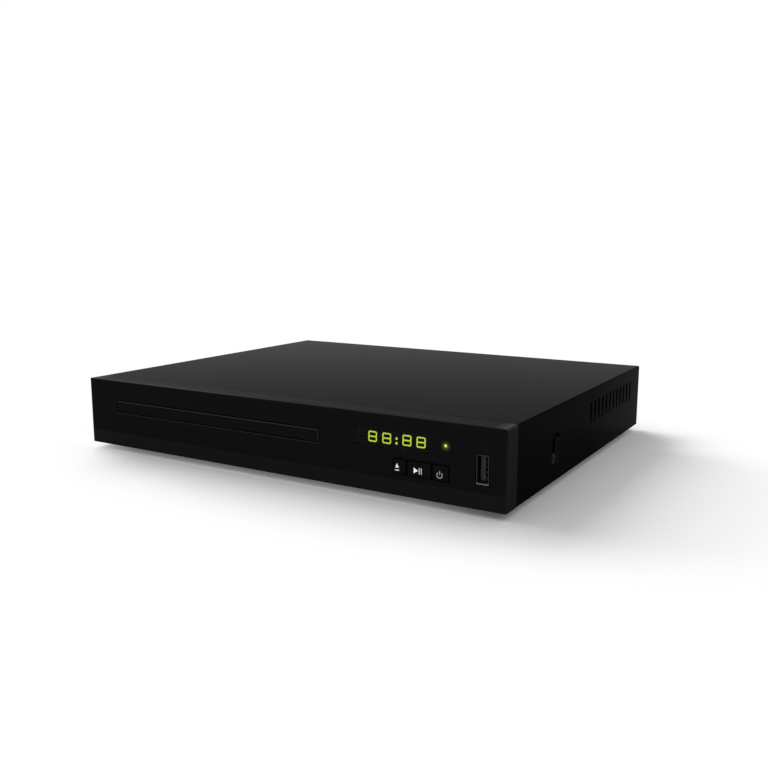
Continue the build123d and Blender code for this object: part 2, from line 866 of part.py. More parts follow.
def standoff(x, y, height):
    """A pressed standoff, wider at its foot."""
    return Pos(x, y, z_pan + height / 2 - 0.05) * Cone(standoff_radius + 1.2, standoff_radius, height + 0.1)


def standoff_bore(x, y, height):
    """The screw hole down a standoff."""
    return post(x, y, screw_shank_radius, z_base - 1, z_pan + height + 1)


def back_panel():
    """The rear panel with its socket openings and foot flange."""
    half = x_pan - pan_sheet - 0.2
    top = z_top - cover_sheet - 0.2
    panel = block(-half, half, y_panel_front, y_panel_rear, z_pan, top)
    panel += block(-half, half, y_panel_front - 8.0, y_panel_rear, z_pan, z_pan + panel_sheet)
    cuts = []
    for x in jack_places():
        cuts.append(bar_y(x, jack_z, jack_barrel_radius + 0.25, y_panel_front - 1, y_panel_rear + 1))
    half_socket = video_socket_width / 2 + 0.4
    tall_socket = video_socket_height / 2 + 0.4
    cuts.append(
        front_slab(
            video_socket_x - half_socket,
            video_socket_x + half_socket,
            video_socket_z - tall_socket,
            video_socket_z + tall_socket,
            y_panel_front - 1,
            y_panel_rear + 1,
            0.8,
        )
    )
    cuts.append(inlet_slab(y_panel_front - 1, y_panel_rear + 1, inlet_wall + 0.15))
    for x in rear_screw_places():
        cuts.append(bar_y(x, z_top - 4.2, screw_shank_radius, y_panel_front - 1, y_panel_rear + 1))
    for row in range(3):
        for index in range(12):
            x = 26.0 - x_side + index * 8.0
            z = z_base + 14.0 + row * 7.0
            slot = Plane((x, y_panel_front - 1, z), x_dir=(1, 0, 0), z_dir=(0, 1, 0))
            cuts.append(extrude(slot * SlotOverall(6.0, 2.0), panel_sheet + 2))
    cuts.append(block(main_board_box[0] - 1, main_board_box[1] + 1, y_panel_front - 9, y_panel_front, z_pan - 1, z_pan + 2))
    return panel - cuts


def jack_places():
    """The row of round sockets."""
    return [jack_first_x + index * jack_pitch for index in range(jack_count)]


def inlet_slab(y0, y1, grow):
    """A slab with the waisted double-round outline of the mains inlet."""
    radius = inlet_height / 2 + grow
    shift = (inlet_width - inlet_height) / 2
    left = bar_y(inlet_x - shift, inlet_z, radius, y0, y1)
    right = bar_y(inlet_x + shift, inlet_z, radius, y0, y1)
    waist = block(inlet_x - shift, inlet_x + shift, y0, y1, inlet_z - radius * 0.86, inlet_z + radius * 0.86)
    return left + right + waist


def mains_inlet():
    """The moulded two-pole inlet with its flange behind the panel."""
    y0 = y_panel_rear + 1.2
    y1 = y_panel_rear - inlet_depth - 2.0
    body = inlet_slab(y1, y0, inlet_wall)
    flange_front = y_panel_front - 1.6
    half = inlet_width / 2 + 3.0
    tall = inlet_height / 2 + 3.0
    right = min(inlet_x + half, x_pan - pan_sheet - 0.4)
    body += front_slab(inlet_x - half, right, inlet_z - tall, inlet_z + tall, flange_front, y_panel_front, 1.0)
    body -= inlet_slab(y0 - inlet_depth, y0 + 1, 0)
    for side in (-1, 1):
        x = inlet_x + side * inlet_pin_pitch / 2
        body -= bar_y(x, inlet_z, inlet_pin_radius + 0.03, y1 - 1, y0)
    return body


def inlet_pins():
    """The two round pins of the inlet, with their tails to the wires."""
    y0 = y_panel_rear + 1.2 - inlet_depth
    pins = None
    for side in (-1, 1):
        x = inlet_x + side * inlet_pin_pitch / 2
        pin = bar_y(x, inlet_z, inlet_pin_radius, y0 - 4.4, y0 + inlet_depth - 1.0)
        pin = fillet(pin.edges().sort_by(Axis.Y)[-1], 0.6)
        pins = pin if pins is None else pins + pin
    return pins


def rubber_feet():
    """Four stepped feet whose plugs pass up through the pan."""
    foot = None
    for x, y in foot_places:
        pad = post(x, y, foot_radius, 0, foot_height)
        pad = fillet(pad.edges().group_by(Axis.Z)[0], 0.8)
        pad = pad - post(x, y, foot_radius - foot_recess, -1, 0.8)
        pad += post(x, y, 2.5, foot_height - 0.1, z_pan + 0.1)
        pad += Pos(x, y, z_pan + 0.9) * Cone(3.2, 2.2, 1.6)
        foot = pad if foot is None else foot + pad
    return foot


def tray_door():
    """The door that closes the tray slot, with its two clips."""
    half = door_width / 2
    door = front_slab(loader_x - half, loader_x + half, door_bottom, door_top, y_front, tray_front, door_corner)
    edges = door.edges().filter_by(lambda edge: edge.center().Y < y_front + 0.01)
    door = fillet(edges, 0.3)
    for side in (-1, 1):
        x = loader_x + side * (half - 22.0)
        door += block(x - 4, x + 4, tray_front - 0.2, tray_front + 4.0, clip_bottom(), clip_bottom() + 1.0)
    return door


def clip_bottom():
    """The height of the door's clips, under the tray's rim plate."""
    return tray_top - tray_rim - 1.3


def disc_tray():
    """The moulded tray: rim plate, two disc recesses, slot, skirts and rack."""
    left = loader_x - tray_half
    right = loader_x + tray_half
    tray = block(left, right, tray_front, tray_rear, tray_top - tray_rim, tray_top)
    wall = 1.2
    floor_bottom = recess_top - recess_floor
    step_bottom = floor_bottom - small_recess_step
    tray += post(loader_x, disc_y, disc_recess_radius + wall, floor_bottom, tray_top)
    tray += post(loader_x, disc_y, small_recess_radius + wall, step_bottom, tray_top)
    for side in (-1, 1):
        x0 = loader_x + side * skirt_outer
        x1 = loader_x + side * skirt_inner
        tray += block(min(x0, x1), max(x0, x1), tray_front + 4.5, tray_rear, tray_bottom, tray_top - 0.5)
        x2 = loader_x + side * (window_half + 1.5)
        x3 = loader_x + side * window_half
        tray += block(min(x2, x3), max(x2, x3), disc_y + 30, tray_rear, tray_bottom, tray_top - 0.5)
    tray += rack()
    tray &= block(left, right, tray_front, tray_rear, tray_bottom, tray_top)
    tray -= post(loader_x, disc_y, disc_recess_radius, recess_top, tray_top + 1)
    tray -= post(loader_x, disc_y, small_recess_radius, recess_top - small_recess_step, tray_top)
    for side in (-1, 1):
        notch_x = loader_x + side * disc_recess_radius
        notch = Pos(notch_x - side * 4.0, disc_y, tray_top) * Sphere(finger_notch_radius)
        tray -= notch & block(left + 4.4, right - 4.4, tray_front, tray_rear, recess_top, tray_top + 1)
    tray -= post(loader_x, disc_y, window_half, tray_bottom - 1, tray_top + 1)
    tray -= block(
        loader_x - window_half, loader_x + window_half, disc_y, tray_rear + 1, tray_bottom - 1, tray_top + 1
    )
    for side in (-1, 1):
        x = loader_x + side * (door_width / 2 - 22.0)
        tray -= block(x - 4.2, x + 4.2, tray_front - 1, tray_front + 4.4, tray_bottom - 1, tray_top - tray_rim + 0.01)
    return tray


def rack():
    """The toothed rack under the tray's right edge."""
    pitch = pi * rack_module
    start = y_gear - 8.0
    end = y_gear + tray_travel + 8.0
    root = loader_x + skirt_inner
    tip = loader_x + rack_line - rack_module
    half = tooth_share * pitch / 2
    z1 = recess_top - recess_floor
    solid = block(root - 0.05, root + 0.5, start, end, tray_bottom, z1)
    count = int((end - start) / pitch)
    first = y_gear - pitch * round((y_gear - start) / pitch - 1) + pitch / 2
    points = [(root + 0.3, start)]
    for index in range(count - 1):
        y = first + index * pitch
        points += [(root, y - 1.4 * half), (tip, y - 0.45 * half), (tip, y + 0.45 * half), (root, y + 1.4 * half)]
    points.append((root + 0.3, end))
    teeth = make_face(Polyline(points, close=True))
    return solid + Pos(0, 0, tray_bottom) * extrude(teeth, z1 - tray_bottom)


def loader_frame():
    """The moulded frame that guides the tray and carries the whole drive."""
    left = loader_x - frame_outer
    right = loader_x + frame_outer
    frame = block(left, right, y_frame_front, y_frame_rear, z_frame, frame_top)
    inner = block(
        left + frame_wall, right - frame_wall, y_frame_front - 1, y_frame_rear + 1, z_frame - 1, frame_top + 1
    )
    frame -= inner
    z0 = frame_floor_top - frame_floor
    x0 = left + 1
    x1 = right - 1
    front_floor_end = y_cam - fit_gap
    rear_floor = y_pivot + 4.0
    frame += block(x0, x1, y_frame_front, front_floor_end, z0, frame_floor_top)
    frame += block(x0, x1, rear_floor, y_frame_rear, z0, frame_floor_top)
    frame += block(x0, x1, y_frame_rear - 2.0, y_frame_rear, z_frame, tray_bottom - 2 * fit_gap)
    frame += block(x0, x1, front_floor_end - 2.0, front_floor_end, z_frame, frame_floor_top)
    for side in (-1, 1):
        a = loader_x + side * (skirt_outer + frame_gap)
        b = loader_x + side * (frame_inner + 0.2)
        frame += block(min(a, b), max(a, b), y_frame_front, y_frame_rear, ledge_top - ledge_thickness, ledge_top)
        c = loader_x + side * (tray_half - 1.6)
        for share in (0.02, 0.28, 0.62, 0.9):
            y = y_frame_front + share * (y_frame_rear - y_frame_front)
            frame += block(min(c, b), max(c, b), y, y + 12, tray_top + rail_gap, frame_top)
        for x, y in frame_feet:
            if (x - loader_x) * side > 0:
                p = loader_x + side * (frame_outer - 0.5)
                q = loader_x + side * (frame_outer + ear_length)
                frame += block(min(p, q), max(p, q), y - 5, y + 5, z_frame, z_frame + 2.4)
        ear = loader_x + side * (deck_half + 2.6)
        frame += block(ear - 1.6, ear + 1.6, y_pivot - 5.0, rear_floor + 4.0, z_pivot - 4.6, z_pivot + 4.6)
        frame += cam_hook(side)
    for index in range(5):
        y = y_frame_front + 34.0 + index * 30.0
        for side in (-1, 1):
            x = loader_x + side * (frame_outer - frame_wall / 2)
            frame -= block(x - 3, x + 3, y, y + 18, z_frame + 4.5, ledge_top - ledge_thickness - 2.5)
    frame += gear_posts()
    cuts = [post(x, y, screw_shank_radius + 0.2, z_frame - 1, z_frame + 4) for x, y in frame_feet]
    cuts.append(post(motor_x, y_gear, 3.4, z0 - 1, frame_floor_top + 1))
    cuts.append(deck_pivot_bar(pivot_radius + running_gap))
    return frame - cuts


def cam_hook(side):
    """A hook that keeps the sliding cam against the frame's front wall."""
    x = loader_x + side * (cam_half - 8.0)
    back = y_cam + cam_thickness + fit_gap
    top = cam_bottom() + cam_height + fit_gap
    hook = block(x - 3, x + 3, y_cam - fit_gap - 2.0, back + 1.2, top, top + 1.4)
    hook += block(x - 3, x + 3, back, back + 1.2, top - 2.4, top + 0.1)
    return hook + block(x - 3, x + 3, y_cam - fit_gap - 2.0, y_cam - fit_gap, frame_floor_top - 1, top + 0.1)


def gear_posts():
    """The shafts that the two gears turn on."""
    drive = post(x_gear, y_gear, gear_post_radius, frame_floor_top - 0.5, z_pinion_top + 0.05)
    idler = post(x_small, y_gear, gear_post_radius, frame_floor_top - 0.5, z_wheel + gear_thickness)
    shoulders = post(x_gear, y_gear, 3.2, frame_floor_top - 0.5, z_wheel - fit_gap)
    shoulders += post(x_small, y_gear, 3.2, frame_floor_top - 0.5, z_pulley - 0.15)
    return drive + idler + shoulders


def deck_pivot_bar(radius):
    """The two pivot stubs at the rear of the deck."""
    outer = deck_half + 4.4
    inner = deck_half - 1.2
    stubs = None
    for side in (-1, 1):
        a = loader_x + side * inner
        b = loader_x + side * outer
        stub = bar_x(y_pivot, z_pivot, radius, min(a, b), max(a, b))
        stubs = stub if stubs is None else stubs + stub
    return stubs


def drive_gear():
    """The stepped gear: a wheel below and the rack pinion above it."""
    wheel = toothed(wheel_teeth, wheel_module, z_wheel, z_wheel + gear_thickness, x_gear, y_gear)
    pinion = toothed(pinion_teeth, rack_module, z_wheel + gear_thickness - 0.1, z_pinion_top, x_gear, y_gear)
    for index in range(5):
        angle = 2 * pi * (index + 0.5) / 5
        hole = post(x_gear + 9.4 * cos(angle), y_gear + 9.4 * sin(angle), 1.2, z_wheel - 1, z_wheel + 4)
        wheel -= hole
    gear = wheel + pinion
    return gear - post(x_gear, y_gear, gear_post_radius + running_gap, z_wheel - 1, z_pinion_top + 1)


def pulley_gear():
    """The belt pulley with its small gear on top."""
    top = z_wheel + gear_thickness
    small = toothed(
        small_teeth, wheel_module, z_pulley + pulley_thickness - 0.1, top, x_small, y_gear, 180.0 / small_teeth
    )
    disc = grooved_pulley(x_small, y_gear, pulley_radius)
    return small + disc - post(x_small, y_gear, gear_post_radius + running_gap, z_pulley - 1, top + 1)


def grooved_pulley(x, y, radius):
    """A pulley with a square groove for the belt."""
    half = belt_section / 2 + 0.25
    middle = z_pulley + pulley_thickness / 2
    rim = post(x, y, radius, z_pulley, z_pulley + pulley_thickness)
    ring = post(x, y, radius + 1, middle - half, middle + half) - post(x, y, radius - 1.3, z_pulley, middle + 2)
    return rim - ring


def motor_pulley():
    """The small pulley on the motor's shaft."""
    pulley = grooved_pulley(motor_x, y_gear, motor_pulley_radius + 0.6)
    return pulley - post(motor_x, y_gear, 1.0, z_pulley - 1, z_pulley + pulley_thickness + 1)


def drive_belt():
    """The endless square belt round the two pulleys."""
    span = x_small - motor_x
    big = pulley_radius - 1.3 + 0.05
    small = motor_pulley_radius + 0.6 - 1.3 + 0.05
    z = z_pulley + pulley_thickness / 2 - belt_section / 2
    outer = belt_outline(span, big + belt_section, small + belt_section)
    inner = belt_outline(span, big, small)
    ring = extrude(outer, belt_section) - extrude(inner, belt_section)
    return Pos(x_small, y_gear, z) * ring


def belt_outline(span, big, small):
    """The convex outline round two circles, the big one at the origin."""
    rise = asin((big - small) / span)
    bx, by = -big * sin(rise), big * cos(rise)
    sx, sy = -span - small * sin(rise), small * cos(rise)
    with BuildLine() as path:
        ThreePointArc((bx, -by), (big, 0), (bx, by))
        Line((bx, by), (sx, sy))
        ThreePointArc((sx, sy), (-span - small, 0), (sx, -sy))
        Line((sx, -sy), (bx, -by))
    return make_face(path.line)


def loading_motor():
    """The flat can motor under the frame's floor, with its shaft."""
    top = frame_floor_top - frame_floor
    can = post(motor_x, y_gear, motor_radius, top - motor_height, top)
    can = fillet(can.edges().group_by(Axis.Z)[0], 1.2)
    can += post(motor_x, y_gear, 3.0, top - 0.1, top + 1.0)
    shaft = post(motor_x, y_gear, 0.98, top, z_pulley + pulley_thickness + 0.5)
    edge = motor_x - motor_radius
    for side in (-1, 1):
        y = y_gear + side * 3.0
        can += block(edge - 2.0, edge + 1.0, y - 1.0, y + 1.0, top - motor_height + 3.0, top - motor_height + 3.6)
    return can + shaft


def cam_bottom():
    """The underside of the sliding cam."""
    return z_pivot - pin_drop - deck_pin_radius - 0.35 - 1.6


def cam_slider():
    """The sliding cam whose slanted slots lower the deck."""
    x0 = loader_x - cam_half
    x1 = loader_x + cam_half
    z0 = cam_bottom()
    slider = block(x0, x1, y_cam, y_cam + cam_thickness, z0, z0 + cam_height)
    slope = degrees(asin(pin_drop / (cam_travel**2 + pin_drop**2) ** 0.5))
    run = (cam_travel**2 + pin_drop**2) ** 0.5
    radius = deck_pin_radius + 0.35
    for side in (-1, 1):
        start = (loader_x + side * deck_pin_half, z_pivot)
        middle = (start[0] + cam_travel / 2, -(start[1] - pin_drop / 2))
        plane = Plane((0, y_cam - 1, 0), x_dir=(1, 0, 0), z_dir=(0, 1, 0))
        slot = Location(middle, slope) * SlotCenterToCenter(run, 2 * radius)
        slider -= extrude(plane * slot, cam_thickness + 2)
    return slider


def traverse_deck():
    """The swinging deck with its folded edges, windows, pins and pivots."""
    left = loader_x - deck_half
    right = loader_x + deck_half
    deck = block(left, right, y_deck, y_pivot + 3.0, deck_top - deck_sheet, deck_top)
    wall_top = deck_top + 3.0
    deck += block(left, right, y_deck, y_deck + deck_sheet, deck_top - deck_sheet, wall_top)
    for side in (-1, 1):
        a = loader_x + side * deck_half
        b = loader_x + side * (deck_half - deck_sheet)
        deck += block(min(a, b), max(a, b), y_deck, y_pivot + 3.0, deck_top - deck_sheet, wall_top)
        x = loader_x + side * deck_pin_half
        deck += bar_y(x, z_pivot, deck_pin_radius, y_cam + 0.1, y_deck + 1.0)
    deck += deck_pivot_bar(pivot_radius)
    half = sled_half - 2.0
    y0 = disc_y + spindle_radius + 3.0
    deck -= block(loader_x - half, loader_x + half, y0, sled_rear() + 4.0, deck_top - 4, deck_top + 1)
    for y0, y1 in rod_blocks():
        for side in (-1, 1):
            x = loader_x + side * guide_rod_half
            deck += block(x - 3.0, x + 3.0, y0, y1, deck_top - 0.2, rod_z() + 2.3)
            deck -= bar_y(x, rod_z(), guide_rod_radius, y0 - 1, y1 + 1)
    return deck


def rod_z():
    """The height of the two guide rods."""
    return deck_top + 3.6


def rod_blocks():
    """The front and rear blocks that hold the guide rods."""
    front = disc_y + spindle_radius + sled_end_gap
    rear = sled_rear() + sled_end_gap
    return ((front, front + 3.0), (rear, rear + 3.0))


def sled_front():
    """The front face of the pickup at its inner end of travel."""
    return disc_y + spindle_radius + sled_start_gap


def sled_rear():
    """The rear face of the pickup at its outer end of travel."""
    return sled_front() + sled_length + sled_travel


def guide_rods():
    """The two polished rods that the pickup slides on."""
    y0 = rod_blocks()[0][0] + 0.3
    y1 = rod_blocks()[1][1] - 0.3
    pair = None
    for side in (-1, 1):
        rod = bar_y(loader_x + side * guide_rod_half, rod_z(), guide_rod_radius - 0.02, y0, y1)
        pair = rod if pair is None else pair + rod
    return pair


def lead_screw():
    """The turned screw that drives the pickup, with its grooves."""
    y0 = rod_blocks()[0][0] + 1.0
    y1 = rod_blocks()[1][0] + screw_past_block
    x = loader_x - lead_screw_half
    screw = bar_y(x, rod_z(), lead_screw_radius, y0, y1)
    grooves = []
    count = int((y1 - y0 - 12.0) / 3.0)
    for index in range(count):
        y = y0 + 4.0 + index * 3.0
        ring = bar_y(x, rod_z(), lead_screw_radius + 1, y, y + 1.0) - bar_y(x, rod_z(), 1.25, y - 1, y + 2)
        grooves.append(ring)
    return screw - grooves


def sled_motor():
    """The small motor that turns the lead screw."""
    x = loader_x - lead_screw_half
    y0 = rod_blocks()[1][0] + screw_past_block + fit_gap
    y1 = y0 + sled_motor_length
    can = bar_y(x, rod_z(), 3.3, y0, y1)
    return can + block(x - 3.0, x + 3.0, y0, y1, deck_top, rod_z())


def pickup_sled():
    """The pickup body riding on both rods, with its tapered front."""
    half = sled_half
    y0 = sled_front()
    y1 = y0 + sled_length
    z0 = deck_top + 0.5
    sled = block(loader_x - half, loader_x + half, y0, y1, z0, z0 + 5.4)
    for side in (-1, 1):
        x = loader_x + side * guide_rod_half
        a = loader_x + side * (half - 1.0)
        b = x + side * 3.2
        sled += block(min(a, b), max(a, b), y0 + 4.0, y1 - 4.0, rod_z() - 2.6, rod_z() + 2.3)
        sled -= bar_y(x, rod_z(), guide_rod_radius + running_gap, y0 - 1, y1 + 1)
    a = loader_x - lead_screw_half + lead_screw_radius + 0.3
    sled += block(a, loader_x - guide_rod_half - 2.4, y0 + 10.0, y0 + 14.0, rod_z() - 1.0, rod_z() + 1.0)
    sled += post(loader_x, y0 + 11.0, 9.5, z0 + 5.0, z0 + 7.0)
    sled -= post(loader_x, y0 + 11.0, 6.6, z0 + 5.6, z0 + 8.0)
    return sled


def objective_lens():
    """The lens in its square holder, on top of the pickup."""
    y = sled_front() + 11.0
    z0 = deck_top + 0.5 + 5.6
    holder = block(loader_x - 4.2, loader_x + 4.2, y - 4.2, y + 4.2, z0, z0 + 2.0)
    dome = post(loader_x, y, 2.6, z0 + 1.9, z0 + 2.5)
    return holder + fillet(dome.edges().sort_by(Axis.Z)[-1], 0.5)


def spindle_motor():
    """The flat motor on the deck that turns the disc."""
    body = post(loader_x, disc_y, spindle_radius, deck_top, deck_top + spindle_height)
    body = fillet(body.edges().group_by(Axis.Z)[-1], 0.8)
    shaft_top = disc_seat - turntable_height - 0.1
    body += post(loader_x, disc_y, 2.4, deck_top + spindle_height - 0.2, shaft_top - 0.2)
    board = block(loader_x - 15, loader_x + 15, disc_y - 14, disc_y + 12, deck_top, deck_top + 0.8)
    return body + board


def turntable():
    """The turntable: rubber-topped seat ring and centring cone."""
    x, y = loader_x, disc_y
    z0 = disc_seat - turntable_height
    plate = post(x, y, turntable_radius, z0, disc_seat)
    plate = fillet(plate.edges().group_by(Axis.Z)[0], 0.6)
    plate -= post(x, y, 11.0, disc_seat - 0.5, disc_seat + 1)
    cone = Pos(x, y, disc_seat + 0.8) * Cone(disc_bore_radius, disc_bore_radius - 2.0, 2.6)
    return plate + cone


def clamp_puck():
    """The magnetic puck that hangs in the bridge and holds the disc down."""
    x, y = loader_x, disc_y
    z0 = disc_seat + fit_gap
    z_waist = z_bridge + bridge_sheet + 0.4
    puck = post(x, y, puck_radius, z0, z0 + 2.0)
    puck += post(x, y, puck_waist, z0 + 1.8, z_waist + 0.2)
    puck += post(x, y, puck_radius - 1.2, z_waist, z_waist + 1.4)
    puck = fillet(puck.edges().group_by(Axis.Z)[-1], 0.5)
    puck -= post(x, y, disc_bore_radius + 0.7, z0 - 1, z0 + 2.6)
    for index in range(6):
        angle = 2 * pi * index / 6
        puck -= post(x + 10.8 * cos(angle), y + 10.8 * sin(angle), 1.1, z_waist - 0.1, z_waist + 2)
    return puck


def clamp_bridge():
    """The pressed bridge across the frame that carries the puck."""
    half = frame_outer
    bridge = block(
        loader_x - half, loader_x + half, disc_y - bridge_width / 2, disc_y + bridge_width / 2, z_bridge, z_bridge + bridge_sheet
    )
    for side in (-1, 1):
        y = disc_y + side * (bridge_width / 2 - bridge_sheet / 2)
        bridge += Pos(loader_x, y, z_bridge + 1.6) * Box(2 * half - 24.0, bridge_sheet, 3.2)
    bridge += post(loader_x, disc_y, bridge_width / 2 + 2.0, z_bridge, z_bridge + bridge_sheet)
    return bridge - post(loader_x, disc_y, puck_waist + 0.6, z_bridge - 1, z_bridge + 3)


def loader_screws():
    """The four screws that hold the loader frame to the pan."""
    return pan_screws(frame_feet, z_frame + 2.4)


def pan_screws(places, seat):
    """Pan-head screws driven down onto a seat."""
    group = None
    for x, y in places:
        head = post(x, y, 2.7, seat, seat + 1.5)
        head = fillet(head.edges().sort_by(Axis.Z)[-1], 0.5)
        screw = head + post(x, y, screw_shank_radius - 0.05, seat - 5.0, seat + 0.2)
        group = screw if group is None else group + screw
    return group


def circuit_board(limits):
    """A board on its standoffs, with screw holes."""
    x0, x1, y0, y1 = limits
    board = block(x0, x1, y0, y1, z_board, z_board_top)
    for x, y in board_feet():
        if x0 < x < x1 and y0 < y < y1:
            board -= post(x, y, screw_shank_radius + 0.2, z_board - 1, z_board_top + 1)
    return board


def board_screws():
    """The eight screws of the two flat boards."""
    return pan_screws(board_feet(), z_board_top)


def front_board_screws():
    """The three screws that hold the front board to its posts."""
    group = None
    y = y_board + board_thickness
    for x, z in board_posts():
        head = bar_y(x, z, 2.6, y, y + 1.4)
        screw = head + bar_y(x, z, screw_shank_radius - 0.05, y - 6.0, y + 0.2)
        group = screw if group is None else group + screw
    return group


def main_chips():
    """The decoder, its memory and the motor driver on the main board."""
    x0, x1, y0, y1 = main_board_box
    top = z_board_top
    chips = block(x0 + 18, x0 + 38, y0 + 30, y0 + 50, top, top + 1.4)
    chips += block(x0 + 44, x0 + 54, y0 + 32, y0 + 54, top, top + 1.1)
    chips += block(x0 + 8, x0 + 14, y0 + 36, y0 + 44, top, top + 1.1)
    chips += block(x0 + 14, x0 + 30, y0 + 14, y0 + 24, top, top + 1.8)
    return chips


def board_capacitors():
    """Upright can capacitors on both boards."""
    x0, _, y0, _ = main_board_box
    px, _, py, _ = power_board_box
    cans = [(x0 + 10, y0 + 58, 3.2, 9.0), (x0 + 48, y0 + 22, 3.2, 9.0), (x0 + 48, y0 + 12, 4.0, 11.5)]
    cans += [(px + 8, py + 56, 4.0, 12.5), (px + 18, py + 60, 5.0, 16.0), (px + 8, py + 44, 4.0, 12.5)]
    group = None
    for x, y, radius, height in cans:
        can = post(x, y, radius, z_board_top, z_board_top + height)
        can = fillet(can.edges().group_by(Axis.Z)[-1], 0.5)
        group = can if group is None else group + can
    return group


def mains_capacitor():
    """The large mains capacitor, standing on the power board."""
    px, _, py, _ = power_board_box
    can = post(px + 56, py + 40, 7.0, z_board_top, z_board_top + 21.0)
    return fillet(can.edges().group_by(Axis.Z)[-1], 0.8)


def transformer():
    """The switching transformer: ferrite core round a wound bobbin."""
    px, _, py, _ = power_board_box
    x, y = px + 33, py + 34
    top = z_board_top
    core = block(x - 11, x + 11, y - 4, y + 4, top + 2.0, top + 19.0)
    core -= block(x - 7.4, x + 7.4, y - 5, y + 5, top + 5.4, top + 15.6)
    core += block(x - 2.6, x + 2.6, y - 4, y + 4, top + 5.0, top + 16.0)
    winding = block(x - 7.0, x + 7.0, y - 9, y + 9, top + 5.6, top + 15.4)
    winding = fillet(winding.edges().filter_by(Axis.Z), 2.0)
    base = block(x - 10, x + 10, y - 9, y + 9, top, top + 2.1)
    base += block(x - 7.0, x + 7.0, y - 9, y + 9, top + 2.0, top + 5.7)
    return core + winding + base


def heat_sink():
    """The folded and slotted aluminium heat sink."""
    px, _, py, _ = power_board_box
    x, y = px + 38, py + 64
    top = z_board_top
    sink = block(x - 12, x + 12, y, y + 1.6, top, top + 20.0)
    for side in (-1, 1):
        a = x + side * 12
        sink += block(min(a, a - side * 1.6), max(a, a - side * 1.6), y - 8, y + 1, top, top + 20.0)
    for index in range(3):
        z = top + 5.0 + index * 5.0
        sink -= block(x - 7, x + 7, y - 1, y + 3, z, z + 1.6)
    return sink


def video_socket():
    """The digital video socket: a folded shell round its thin tongue."""
    x, z = video_socket_x, video_socket_z
    half = video_socket_width / 2
    tall = video_socket_height / 2
    y1 = y_panel_rear + 0.8
    y0 = y1 - 11.5
    shell = front_slab(x - half, x + half, z - tall, z + tall, y0, y1, 0.6)
    shell -= front_slab(x - half + 0.4, x + half - 0.4, z - tall + 0.4, z + tall - 0.4, y0 + 2, y1 + 1, 0.4)
    shell += block(x - half + 1.6, x + half - 1.6, y0 + 1, y1 - 1.6, z - 0.7, z + 0.7)
    shell += block(x - half, x + half, y0, y0 + 7.0, z_board_top, z - tall + 0.2)
    return shell


def av_jacks():
    """The moulded jack block on the main board."""
    first = jack_places()[0]
    last = jack_places()[-1]
    y1 = y_panel_front - 0.3
    y0 = y1 - 11.0
    body = block(first - jack_pitch / 2, last + jack_pitch / 2, y0, y1, z_board_top, jack_z + 5.4)
    for x in jack_places():
        body += bar_y(x, jack_z, jack_collar_radius, y1 - 0.2, y_panel_rear + jack_reach - 1.4)
        body -= bar_y(x, jack_z, jack_bore_radius, y1 - 8.0, y_panel_rear + jack_reach + 1)
    return body


def jack_collars():
    """The metal barrels of the round sockets."""
    group = None
    for x in jack_places():
        y1 = y_rear + jack_reach
        ring = bar_y(x, jack_z, jack_barrel_radius - jack_neck_step, y_panel_front - 0.3, y_rear)
        ring += bar_y(x, jack_z, jack_barrel_radius, y_rear, y1)
        ring -= bar_y(x, jack_z, jack_collar_radius, y_panel_front - 1, y1 + 1)
        group = ring if group is None else group + ring
    return group


def power_connector():
    """The pin header that takes the mains wires and the board's fuse."""
    y1 = power_board_box[3]
    top = z_board_top
    header = block(inlet_x - 7, inlet_x + 7, y1 - 9, y1 - 2, top, inlet_z + 3.0)
    y = y1 - 28.0
    fuse = bar_x(y, top + 3.6, 2.6, inlet_x - 16, inlet_x + 4)
    fuse += block(inlet_x - 15, inlet_x - 13, y - 1.5, y + 1.5, top, top + 3)
    fuse += block(inlet_x + 1, inlet_x + 3, y - 1.5, y + 1.5, top, top + 3)
    return header + fuse


def mains_wires():
    """The pair of wires from the inlet to the power board."""
    pair = None
    y0 = power_board_box[3] - 2.0
    y1 = y_panel_rear + 1.2 - inlet_depth - 4.4
    for side in (-1, 1):
        wire = bar_y(inlet_x + side * inlet_pin_pitch / 2, inlet_z, 1.1, y0, y1)
        pair = wire if pair is None else pair + wire
    return pair


def flat_cable(points, x0, x1, thickness):
    """A flat cable that follows straight runs and square folds."""
    cable = None
    half = thickness / 2
    for (ya, za), (yb, zb) in zip(points, points[1:]):
        run = block(
            x0, x1, min(ya, yb) - half, max(ya, yb) + half, min(za, zb) - half, max(za, zb) + half
        )
        cable = run if cable is None else cable + run
    return cable


def front_ribbon():
    """The flat cable from the front board back to the main board."""
    y0 = y_board + board_thickness + 4.0
    y1 = main_board_box[2] + 6.0
    z_high = z_top - 6.5
    points = [(y0 - 2.0, 22.0), (y0, 22.0), (y0, z_high), (y1, z_high), (y1, z_board_top + 4.0)]
    x0 = main_board_box[0] + 11.0
    cable = flat_cable(points, x0, x0 + 9.0, 0.4)
    cable += block(x0 - 1, x0 + 10, y_board + board_thickness, y0 - 1.5, 20.0, 24.0)
    cable += block(x0 - 1, x0 + 10, y1 - 2, y1 + 2, z_board_top, z_board_top + 5.0)
    return cable


